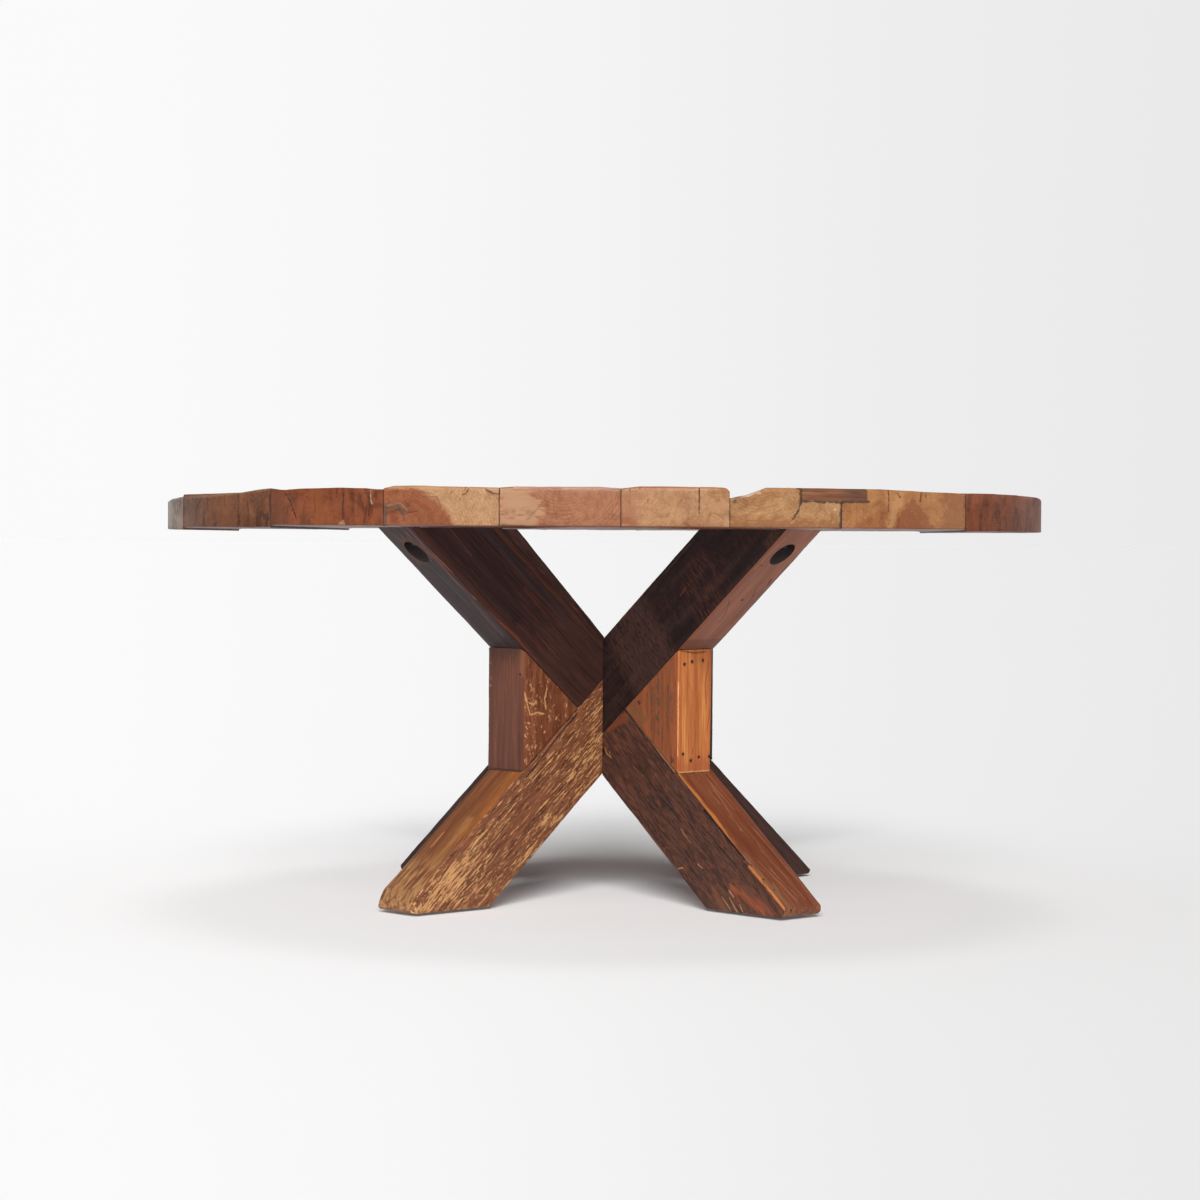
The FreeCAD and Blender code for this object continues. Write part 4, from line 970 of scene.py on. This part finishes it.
def carve_plank(number, left, right, under, level, gaps, top_line):
    """One plank, sawn from a copy of the round board and worn."""
    pick_up(board)
    bpy.ops.object.duplicate()
    plank = bpy.context.active_object
    plank.name = f"top_plank_{number}"
    bpy.ops.object.mode_set(mode="EDIT")
    near, far = left + gaps[0] / 10000, right - gaps[1] / 10000
    saw((near, 0, 0), (-1, 0, 0))
    saw((far, 0, 0), (1, 0, 0))
    round_over((near, 0, TOP_LEVEL), (-1, 0, 0), (0, 0, 1), 0.0022, 2)
    round_over((far, 0, TOP_LEVEL), (1, 0, 0), (0, 0, 1), 0.0022, 2)
    for x, _ in top_line[1:-1]:
        saw((x, 0, 0), (1, 0, 0), True)
    bpy.ops.mesh.select_all(action="SELECT")
    thinned = (level - under) / (TOP_LEVEL - UNDERSIDE)
    bpy.ops.transform.resize(value=(1, 1, thinned), center_override=(0, 0, UNDERSIDE))
    bpy.ops.transform.translate(value=(0, 0, under - UNDERSIDE))
    bpy.ops.object.mode_set(mode="OBJECT")
    lift = plank.vertex_groups.new(name="lift")
    worn = plank.vertex_groups.new(name="worn")
    for vertex in plank.data.vertices:
        x, y, z = vertex.co
        ends = min(1.0, max(0.0, (-0.25 - y) / 0.3))
        share = 1.0 if number in (1, 7) else 0.4 + 0.6 * ends
        lift.add([vertex.index], share * max(0.0, (z - under) / (level - under)), "REPLACE")
        if near + 0.0005 < x < far - 0.0005:
            worn.add([vertex.index], 1.0, "REPLACE")
    line = bpy.data.textures.new("top_line", "BLEND")
    line.use_color_ramp = True
    first, last = top_line[0][0], top_line[-1][0]
    span = 0.04  # the heights that its shades stand for, from black to white
    elements = line.color_ramp.elements
    for x, _ in top_line[2:]:
        elements.new((x - first) / (last - first))
    for element, (x, height) in zip(elements, top_line):
        shade = 0.5 + (height - level) / span
        element.position, element.color = (x - first) / (last - first), (shade, shade, shade, 1)
    guide = bpy.data.objects.new("line_guide", None)
    bpy.context.scene.collection.objects.link(guide)
    guide.location, guide.scale = ((first + last) / 2, 0, 0), ((last - first) / 2, 1, 1)
    bpy.context.view_layer.update()
    raised = plank.modifiers.new("raised", "DISPLACE")
    raised.texture, raised.texture_coords, raised.texture_coords_object = line, "OBJECT", guide
    raised.strength, raised.mid_level, raised.direction, raised.vertex_group = span, 0.5, "Z", "lift"
    pick_up(plank)
    bpy.ops.object.modifier_apply(modifier=raised.name)
    bpy.data.objects.remove(guide)
    wear(plank, 0.0014, 0.05, (1, 5, 1), "worn")
    wear(plank, 0.0005, 0.012, (1, 3, 1), "worn")
    blades = [check_blade(*check) for check in FRONT_CHECKS.get(number, [])]
    for _ in range(4):
        x = chance.uniform(max(near, -0.78) + 0.01, min(far, 0.78) - 0.01)
        blades.append(check_blade(x, 0.77, chance.uniform(0.70, 0.745), chance.uniform(0.0006, 0.0022),
                                  chance.uniform(-0.01, 0.01), chance.uniform(0.04, 0.25), 1))
    take_away(plank, blades)
    return plank


# Marks in the end grain in front, in millimetres across and up. Each mark is its path, half width, soft edge,
# colour and strength, and how far it is sunk, if it is
RIM_MARKS = {
    1: [([(-816, 744), (-816, 690)], 4, 8, (170, 156, 148), 0.6),
        ([(-797, 740), (-799, 700)], 2, 5, (110, 92, 82), 0.6),
        ([(-778, 744), (-779, 700)], 3, 6, (104, 86, 76), 0.6),
        ([(-758, 746), (-756, 690)], 4, 14, (112, 90, 76), 0.7)],
    2: [([(-735, 745), (-735, 695)], 14, 30, (98, 74, 61), 0.75),
        ([(-580, 748), (-572, 700)], 4, 14, (86, 60, 46), 0.4),
        ([(-655, 750), (-640, 700)], 12, 22, (140, 86, 54), 0.5),
        ([(-740, 743), (-740, 697)], 0.7, 1.6, (78, 56, 47), 0.8),
        ([(-713, 745), (-713, 713)], 0.7, 1.6, (82, 56, 46), 0.7),
        ([(-685, 747), (-685, 720)], 0.7, 1.6, (82, 56, 46), 0.7),
        ([(-648, 750), (-646, 728)], 0.6, 1.4, (88, 58, 46), 0.5),
        # Pale line along the top arris: a painted highlight
        ([(-740, 744.6), (-678, 747), (-603, 753), (-554, 757.6)], 1.6, 3, (160, 122, 96), 0.6),
        ([(-569, 714.6), (-559, 704)], 3.5, 5, (80, 55, 46), 0.8),
        ([(-554, 748), (-554, 725), (-562, 695)], 0.7, 1.2, (76, 50, 40), 0.6)],
    3: [([(-548, 752), (-540, 700)], 12, 20, (112, 68, 48), 0.7),
        ([(-470, 748), (-455, 705)], 10, 20, (152, 88, 52), 0.5),
        ([(-400, 738), (-378, 722), (-352, 728)], 1.5, 5, (100, 58, 42), 0.6),
        ([(-355, 752), (-362, 745)], 2, 5, (92, 58, 44), 0.6),
        ([(-523, 748), (-514, 732.6), (-504, 706.7)], 0.7, 1.4, (74, 44, 34), 0.9, 1),
        ([(-418, 758), (-418, 695)], 0.9, 1.4, (88, 50, 38), 0.8, 0.5),
        ([(-419, 696.6)], 4, 3, (182, 140, 104), 0.8),
        ([(-429, 755), (-429, 743)], 0.6, 1.2, (88, 50, 38), 0.8),
        ([(-402, 758), (-402, 748)], 0.6, 1.2, (88, 50, 38), 0.8),
        ([(-368, 757), (-368.5, 744), (-367, 732)], 0.8, 1.6, (186, 156, 126), 0.8),
        ([(-370, 730), (-372, 712)], 0.6, 1.2, (84, 48, 38), 0.8),
        ([(-470, 742), (-468, 716)], 0.5, 1.4, (100, 58, 42), 0.5)],
    4: [([(-345, 722), (-326, 724), (-308, 728)], 6, 8, (120, 72, 52), 0.6),
        ([(-343, 697), (-342, 723.5), (-326, 731), (-312, 713), (-311, 704.5)],
         0.8, 3.5, (98, 80, 68), 0.85, 0.6),
        ([(-338, 728), (-318, 733), (-306, 722)], 0.6, 2.5, (150, 124, 98), 0.7),
        ([(-332, 718), (-318, 722)], 0.6, 2, (84, 66, 56), 0.7),
        ([(-290, 735), (-270, 722), (-262, 700)], 2, 6, (134, 74, 50), 0.5),
        ([(-328, 708)], 4, 9, (136, 66, 46), 0.7), ([(-307, 715), (-286, 720)], 0.5, 1.1, (100, 60, 46), 0.7),
        ([(-305, 732), (-299, 726)], 0.5, 1.1, (100, 60, 46), 0.7),
        ([(-278, 742.5), (-255, 742.5), (-247, 725)], 0.6, 1.2, (124, 78, 58), 0.6),
        # Pale line along the top arris: a painted highlight
        ([(-335, 759), (-262, 759)], 2.2, 4, (200, 152, 116), 0.7),
        ([(-202, 756), (-205, 749), (-211, 746)], 0.8, 1.2, (112, 74, 54), 0.8, 1),
        ([(-173, 755), (-163, 749), (-151, 747)], 1.4, 1.5, (108, 70, 52), 0.9, 1),
        ([(-234, 712)], 1, 1.4, (124, 88, 66), 0.8), ([(-216, 740)], 1, 1.4, (128, 90, 66), 0.7),
        ([(-165, 740)], 1, 1.4, (128, 90, 66), 0.7),
        ([(-290, 752), (-262, 748)], 0.5, 1.2, (130, 84, 62), 0.5)],
    5: [([(-145, 752), (-108, 740), (-94, 720), (-106, 700), (-146, 700)], 10, 14, (192, 147, 113), 0.8),
        ([(-128, 728)], 20, 12, (192, 147, 113), 0.8), ([(-138, 716.5)], 2, 6, (146, 110, 88), 0.6),
        ([(-127, 718)], 1.5, 5, (146, 110, 88), 0.6),
        ([(-102, 717.5), (-98, 714)], 2.5, 6, (150, 114, 90), 0.6),
        ([(-79, 733), (-104, 705)], 0.6, 1.5, (152, 110, 84), 0.7),
        # Pale line along the top arris: a painted highlight
        ([(-125, 759), (46, 759)], 1.4, 2, (220, 184, 164), 0.6),
        ([(-127, 755), (46, 755)], 0.6, 1.5, (164, 98, 72), 0.6),
        ([(-146, 696), (-110, 695)], 1.2, 2, (112, 76, 58), 0.7)],
    6: [([(56, 759), (83, 760), (131, 761), (177, 762), (210, 762), (221, 757), (228, 747)],
         1.8, 2.5, (176, 106, 78), 0.7),
        ([(177, 764), (177, 737), (177, 718)], 0.7, 1.2, (116, 76, 58), 0.9, 1),
        ([(64, 755), (64, 752)], 0.7, 1.2, (116, 76, 58), 0.8, 1),
        ([(63, 738), (63, 734)], 0.7, 1.2, (116, 76, 58), 0.8, 1),
        ([(80, 762), (80, 757)], 0.7, 1.2, (116, 76, 58), 0.8, 1),
        ([(60, 750), (62, 700)], 10, 24, (174, 120, 88), 0.6),
        ([(93, 738), (93, 734)], 0.7, 1.2, (126, 84, 62), 0.7),
        ([(55, 704), (72, 698)], 3, 12, (156, 92, 66), 0.7),
        ([(50, 755), (50, 696)], 0.5, 1.2, (132, 88, 66), 0.6),
        ([(58, 745), (66, 720)], 3, 7, (172, 114, 84), 0.5)],
    # Plank 7's first mark, the pale line in the worn hollow by its top edge, is a painted highlight
    7: [([(238, 751), (253, 748), (275, 757)], 3.0, 3, (222, 198, 180), 0.7),
        ([(236, 739.7)], 3.5, 2.5, (102, 84, 72), 0.85, 0.6),
        ([(251, 708), (259, 719), (308, 733)], 1.0, 2.5, (168, 120, 82), 0.6),
        ([(343, 760), (346, 739), (340, 722), (331, 708)], 1.4, 1.6, (88, 64, 52), 0.9, 1),
        ([(235, 696), (410, 694)], 8, 20, (156, 102, 66), 0.75),
        ([(346, 739), (375, 739), (412, 739)], 1.5, 1.4, (84, 66, 57), 0.9),
        ([(412.5, 737), (412.5, 697)], 1.3, 1.6, (80, 68, 61), 0.9),
        ([(402, 727)], 1.6, 1.5, (222, 190, 150), 0.85),
        ([(290, 748), (320, 745)], 0.5, 1.2, (150, 104, 72), 0.5)],
    8: [([(414, 739), (460, 739)], 1.5, 1.4, (84, 66, 57), 0.9),
        ([(499, 694), (505, 720), (513, 748)], 4, 9, (204, 154, 108), 0.6),
        ([(614, 750), (616, 700)], 10, 28, (158, 100, 62), 0.6),
        ([(495, 759), (496, 748), (495, 724)], 0.5, 1.2, (116, 74, 54), 0.8, 1),
        ([(516, 702), (538, 738), (566, 698), (520, 700)], 6, 7, (152, 92, 62), 0.75),
        ([(538, 712)], 14, 8, (152, 92, 62), 0.75), ([(514, 712), (511, 694)], 0.8, 1.6, (120, 72, 50), 0.7),
        ([(511, 755), (516, 748)], 0.7, 1.2, (108, 68, 50), 0.8, 1),
        ([(554, 758), (552, 742)], 0.6, 1.2, (112, 70, 52), 0.8, 1),
        ([(562, 754), (562, 749)], 0.6, 1.2, (112, 70, 52), 0.8),
        ([(632, 757), (632, 696)], 0.5, 1.2, (118, 76, 56), 0.5)]
       + [([(x, 736), (x, 700)], 0.3, 1.2, (148, 98, 66), 0.5) for x in (429, 440, 451, 463, 475, 487)],
    9: [([(814, 755), (814, 688)], 26, 55, (170, 142, 128), 0.9),
        ([(790, 752), (790, 695)], 0.6, 1.6, (120, 94, 84), 0.6),
        ([(768, 755), (766, 700)], 0.8, 2.0, (98, 70, 60), 0.5),
        ([(745, 757), (743, 700)], 2, 6, (104, 72, 60), 0.5),
        ([(812, 748), (812, 692)], 1.2, 2, (176, 150, 140), 0.6),
        ([(700, 745), (699, 715)], 0.5, 1.4, (86, 54, 42), 0.6)],
}


def plank_finish(number, seams, under, level, sap, heart, pith, heart_radius, ring):
    """Waxed old hardwood: growth rings round a pith, so the grain runs on from the ends over the top."""
    outer = number in (1, 2, 3, 9)
    f = Finish(f"plank_wood_{number}", lit=1.45, gloss=0.2 if number == 3 else 0.06 if outer else 0.3)
    far, saw_tooth = f.rings(f.x, f.z, pith, ring, ((7, 0.6, 7), 0.036), number * 3.7)
    edge = f.both(f.sum("SUBTRACT", f.cloud((16, 2, 16), 3.0, 0.6, 0.0, number), 0.5), 0.02)
    old = f.rise(f.sum("ADD", far, edge), heart_radius - 0.006, heart_radius + 0.006)
    base = f.blend(old, heart, sap)
    tint = f.cloud((11, 2, 11), 3.0, 0.6, 0.2, number + 5.0)
    base = f.blend(f.both(f.rise(tint, 0.5, 0.7), 0.3), base, [c * 0.84 for c in heart])
    mottle = f.cloud((62, 3, 15) if outer else (44, 3, 34), 4.0, 0.62, 0.9, number + 1.5)
    base = f.tone(f.rise(mottle, 0.48, 0.68), base, *((0.48, 0.45, 0.45) if outer else (0.82, 0.76, 0.7)))
    base = f.tone(f.rise(mottle, 0.5, 0.32), base, *((1.28, 1.18, 1.08) if outer else (1.14, 1.14, 1.12)))
    swirl = f.cloud((24, 3, 24), 3.0, 0.6, 1.6, number + 4.5)
    base = f.tone(f.band(swirl, 0.5, 0.004, 0.04), base, 0.86, 0.8, 0.74)
    strength = f.rise(f.cloud((14, 3, 14), 2.0, 0.5, 0.0, number + 9.0), 0.36, 0.62)
    base = f.tone(f.both(f.rise(saw_tooth, 0.35, 0.98), strength), base, 0.87, 0.82, 0.77)
    pores = f.cloud((620, 22, 620), 2.0, 0.6)
    base = f.tone(f.rise(pores, 0.5, 0.34), base, 0.8, 0.77, 0.74)
    fibre = f.cloud((150, 5, 150), 3.0, 0.6, 0.0, number)
    base = f.tone(f.rise(fibre, 0.5, 0.66), base, 1.1, 1.1, 1.08)
    base = f.draw(base, "xz", f.rise(f.y, -0.3, -0.45), RIM_MARKS[number])
    # Lighter and smoother over the top and along the upper edge of the rim: partly polish from wear, partly a
    # painted highlight on the top arris
    top = f.rise(f.z, level - 0.009, level - 0.003)
    polish_and_highlight = f.both(top, f.rise(f.cloud((12, 12, 12), 3.0, 0.6, 0.0, number + 2.0), 0.36, 0.6))
    base = f.blend(f.both(polish_and_highlight, 0.25), base, [min(255, c * 1.1 + 6) for c in sap])
    foot = f.both(f.rise(f.z, under + 0.0032, under + 0.0012), 0.7)
    base = f.blend(foot, base, (124, 66, 50))
    # Darker next to the seams: partly dirt in the joints, partly painted shade of the narrow gaps between the
    # planks
    beside = f.sum("MINIMUM", *[f.sum("ABSOLUTE", f.sum("SUBTRACT", f.x, seam)) for seam in seams])
    seam_dirt_and_shade = f.rise(f.sum("MULTIPLY_ADD", mottle, -0.004, beside), 0.0, -0.0018)
    base = f.blend(f.both(seam_dirt_and_shade, 0.7), base, (78, 56, 48))
    height = f.sum("ADD", f.both(pores, 0.5), f.both(fibre, 0.5))
    rough = f.sum("SUBTRACT", f.sum("MULTIPLY_ADD", tint, 0.3, 0.26), f.both(polish_and_highlight, 0.12))
    return f.done(base, rough, height, 0.0005)


board = rough_round()
for number, (left, right, under, level, gaps, *wood, top_line) in enumerate(PLANKS, 1):
    plank = carve_plank(number, left, right, under, level, gaps, top_line)
    if number in (7, 8):
        bpy.ops.object.select_all(action="DESELECT")
        bpy.ops.mesh.primitive_cube_add(size=1, scale=(0.1, 0.1286, 0.1))
        pocket = bpy.context.active_object
        bpy.ops.object.transform_apply(location=False, rotation=False)
        pocket.location = outward(RIM_TURN, 0.8458, 0.7907)
        pocket.rotation_euler = (0, 0, RIM_TURN)
        bpy.ops.object.transform_apply()
        take_away(plank, [pocket])
    dress(plank, [(plank_finish(number, (left, right), under, level, *wood), None)],
          f"plank_{number}", slot="plank_timber")


# ---- Rim repair --------------------------------------------------------------------------------------
# A slip of darker hardwood glued into a pocket in the front rim, where two planks had lost their corners.
# Its grain runs along the rim; sawn round with the top and eased with it, half a millimetre under the pocket.

pick_up(board)
slip = board
slip.name = "rim_slip"
bpy.ops.object.mode_set(mode="EDIT")
bpy.ops.mesh.select_all(action="SELECT")
bpy.ops.transform.translate(value=(0, 0, -0.0006))
saw(outward(RIM_TURN, 0.7962), outward(RIM_TURN, -1))
saw(outward(RIM_TURN, 0, 0, 0.0638), outward(RIM_TURN, 0, 0, 1))
saw(outward(RIM_TURN, 0, 0, -0.0638), outward(RIM_TURN, 0, 0, -1))
saw((0, 0, 0.7411), (0, 0, -1))
bpy.ops.object.mode_set(mode="OBJECT")
wear(slip, 0.0006, 0.03)
f = Finish("slip_wood", turn=(0, 0, RIM_TURN), lit=1.47, gloss=0.35)
streak = f.cloud((90, 5, 120), 3.0, 0.6)
base = f.ramp(streak, (0.3, (122, 78, 57)), (0.5, (144, 98, 73)), (0.7, (162, 116, 88)))
grey = f.rise(f.y, 0.0, 0.035)
base = f.blend(f.both(grey, 0.75), base, (112, 80, 67))
fine = f.cloud((420, 18, 420), 2.0)
base = f.blend(f.both(f.rise(fine, 0.5, 0.34), 0.5), base, (98, 62, 48))
slip_wood = f.done(base, 0.36, fine, 0.0005)
dress(slip, [(slip_wood, None)], "rim_patch", slot="patch_timber")


# ---- Tongues and dowels ------------------------------------------------------------------------------
# Plain hardwood, never seen: loose tongues in the grooves between the planks, and dowels that pin the
# half-lap and the cut timbers.

f = Finish("plain_dowel_wood")
fine = f.cloud((160, 160, 9), 3.0, 0.6)
base = f.ramp(fine, (0.3, (172, 136, 98)), (0.6, (204, 170, 128)), (0.75, (220, 190, 150)))
plain_wood = f.done(base, f.sum("MULTIPLY_ADD", fine, 0.2, 0.55), fine, 0.0004)
for node in [f"tongue_{number}" for number in range(1, 9)] + ["cross_dowels", "end_dowels"]:
    for seat in frame["nodes"][node].material_slots:
        seat.material = plain_wood


# ---- Bolts and washers -------------------------------------------------------------------------------
# Zinc-plated lag bolts hold the top, their heads and washers up in the counterbores of the arms.

f = Finish("dulled_zinc", gloss=0.5)
mottle = f.cloud((260, 260, 260), 3.0, 0.6)
base = f.ramp(mottle, (0.35, (72, 71, 70)), (0.55, (92, 91, 89)), (0.7, (116, 114, 110)))
zinc = f.done(base, f.sum("MULTIPLY_ADD", mottle, 0.3, 0.3), mottle, 0.0002, Metallic=0.9)
for node in ("lag_bolts", "washers"):
    for seat in frame["nodes"][node].material_slots:
        seat.material = zinc
for seat in frame["nodes"]["glide_nails"].material_slots:
    seat.material = rust.material


# ---- Glides ------------------------------------------------------------------------------------------
# A round of milky nylon under each foot, nailed on through its middle, its lower edge eased.

f = Finish("milky_nylon", lit=1.1)
scuff = f.cloud((190, 190, 190), 3.0, 0.6)
base = f.ramp(scuff, (0.3, (196, 178, 172)), (0.6, (228, 214, 208)), (0.75, (238, 226, 220)))
nylon = f.done(base, f.sum("MULTIPLY_ADD", scuff, 0.3, 0.3), scuff, 0.0002,
               Subsurface_Weight=0.3, Subsurface_Scale=0.003)
GLIDE_REACH, GLIDE_RADIUS, GLIDE_THICKNESS = 0.411196, 0.014, 0.006
for corner, (degrees, *_) in blocks.items():
    place = outward(math.radians(degrees), GLIDE_REACH, GLIDE_THICKNESS / 2)
    bpy.ops.object.select_all(action="DESELECT")
    bpy.ops.mesh.primitive_cylinder_add(vertices=64, radius=GLIDE_RADIUS, depth=GLIDE_THICKNESS,
                                        location=place)
    glide = bpy.context.active_object
    glide.name = f"nylon_glide_{corner}"
    bpy.ops.object.transform_apply()
    bpy.ops.object.mode_set(mode="EDIT")
    choose("FACE", lambda face: face.normal.z < -0.9)
    bpy.ops.mesh.inset(thickness=0.0099)
    bpy.ops.mesh.extrude_region_move(TRANSFORM_OT_translate={"value": (0, 0, 0.0025)})
    choose("EDGE", lambda edge: max(v.co.z for v in edge.verts) < 0.001 and edge.calc_length() > 0.001)
    bpy.ops.mesh.bevel(offset=0.0009, segments=3, affect="EDGES")
    bpy.ops.object.mode_set(mode="OBJECT")
    dress(glide, [(nylon, None)], f"glide_{corner}", slot="nylon")


# ---- Studio ------------------------------------------------------------------------------------------
# A plain pale floor that runs to the horizon, with painted shade that darkens it a little to the right, and a
# pale room whose light is a little darker to the right. The table has a broad light from in front, and the
# floor its own lights, shaded by the base or by the top alone.

# How the room's light falls off to the right; the floor carries the same fall-off as painted shade
LIGHT_FALL_OFF = ((0.02, (250, 250, 250)), (0.28, (247, 247, 247)), (0.5, (241, 241, 241)), (0.73, (236, 236, 236)),
            (0.95, (233, 233, 233)))
FAN_MIDDLE, FAN_START = 0.16, -5.81  # the floor's fall-off fans out from here, below the camera's place
bpy.ops.object.select_all(action="DESELECT")
bpy.ops.mesh.primitive_plane_add(size=1600)
floor = bpy.context.active_object
floor.name = "studio_floor"
f = Finish("studio_paper", lit=1 / 0.88, gloss=0.0)
# The floor's colour is painted darker to the right, as shade that fans out from below the camera's place
ahead = f.sum("MAXIMUM", f.sum("SUBTRACT", f.y, FAN_START), 3.0)
across = f.sum("DIVIDE", f.sum("SUBTRACT", f.x, FAN_MIDDLE), ahead)
across = f.step("MapRange", {"Value": across, "From Min": -0.2, "From Max": 0.2})
floor.data.materials.append(f.done(f.ramp(across, *LIGHT_FALL_OFF), 1.0, 0.0, 0.0))

room = bpy.data.worlds.new("pale_room")
bpy.context.scene.world = room
f = Finish("pale_room", lit=1.0, gloss=0.0, home=room)
across = f.step("MapRange", {"Value": f.x, "From Min": -0.2, "From Max": 0.2})
wall = f.ramp(f.z, (0.0, (255, 255, 255)), (0.19, (255, 255, 255)), (0.26, (130, 130, 130)))
f.join(f.blend(1.0, wall, f.ramp(across, *LIGHT_FALL_OFF), "MULTIPLY"), f.nodes["Background"].inputs["Color"])

groups = {name: bpy.data.collections.new(f"{name}_pieces") for name in ("top", "base", "table", "floor")}
groups["floor"].objects.link(floor)
for piece in bpy.context.scene.objects:
    if piece.type == "MESH" and piece is not floor:
        of_top = piece.name.startswith(("top_plank", "plank", "rim_", "tongue"))
        groups["top" if of_top else "base"].objects.link(piece)
        groups["table"].objects.link(piece)
# What each light falls on, what alone shades it, its energy and angle, and its tilt in degrees
LIGHTS = (("table", "base", 4.0, 0.7, 50), ("floor", "base", 4.65, 0.5, 61),
          ("floor", "top", 0.34, 0.3, -14), ("floor", "top", 0.42, 0.3, 50))
for falls_on, shaded_by, energy, angle, tilt in LIGHTS:
    lamp = bpy.data.lights.new(f"{falls_on}_light", "SUN")
    lamp.energy, lamp.angle = energy, angle
    light = bpy.data.objects.new(f"{falls_on}_light", lamp)
    light.rotation_euler = (math.radians(tilt), 0, 0)
    light.light_linking.receiver_collection = groups[falls_on]
    light.light_linking.blocker_collection = groups[shaded_by]
    bpy.context.scene.collection.objects.link(light)

lens = bpy.data.cameras.new("camera")
lens.lens, lens.sensor_width = 91.872, 36
camera = bpy.data.objects.new("camera", lens)
camera.location = (0.16001, -5.812, 0.6726)
camera.rotation_euler = [math.radians(turn) for turn in (88.88398, -0.35593, 1.65773)]
bpy.context.scene.collection.objects.link(camera)
bpy.context.scene.camera = camera
bpy.context.scene.view_settings.view_transform = "Standard"
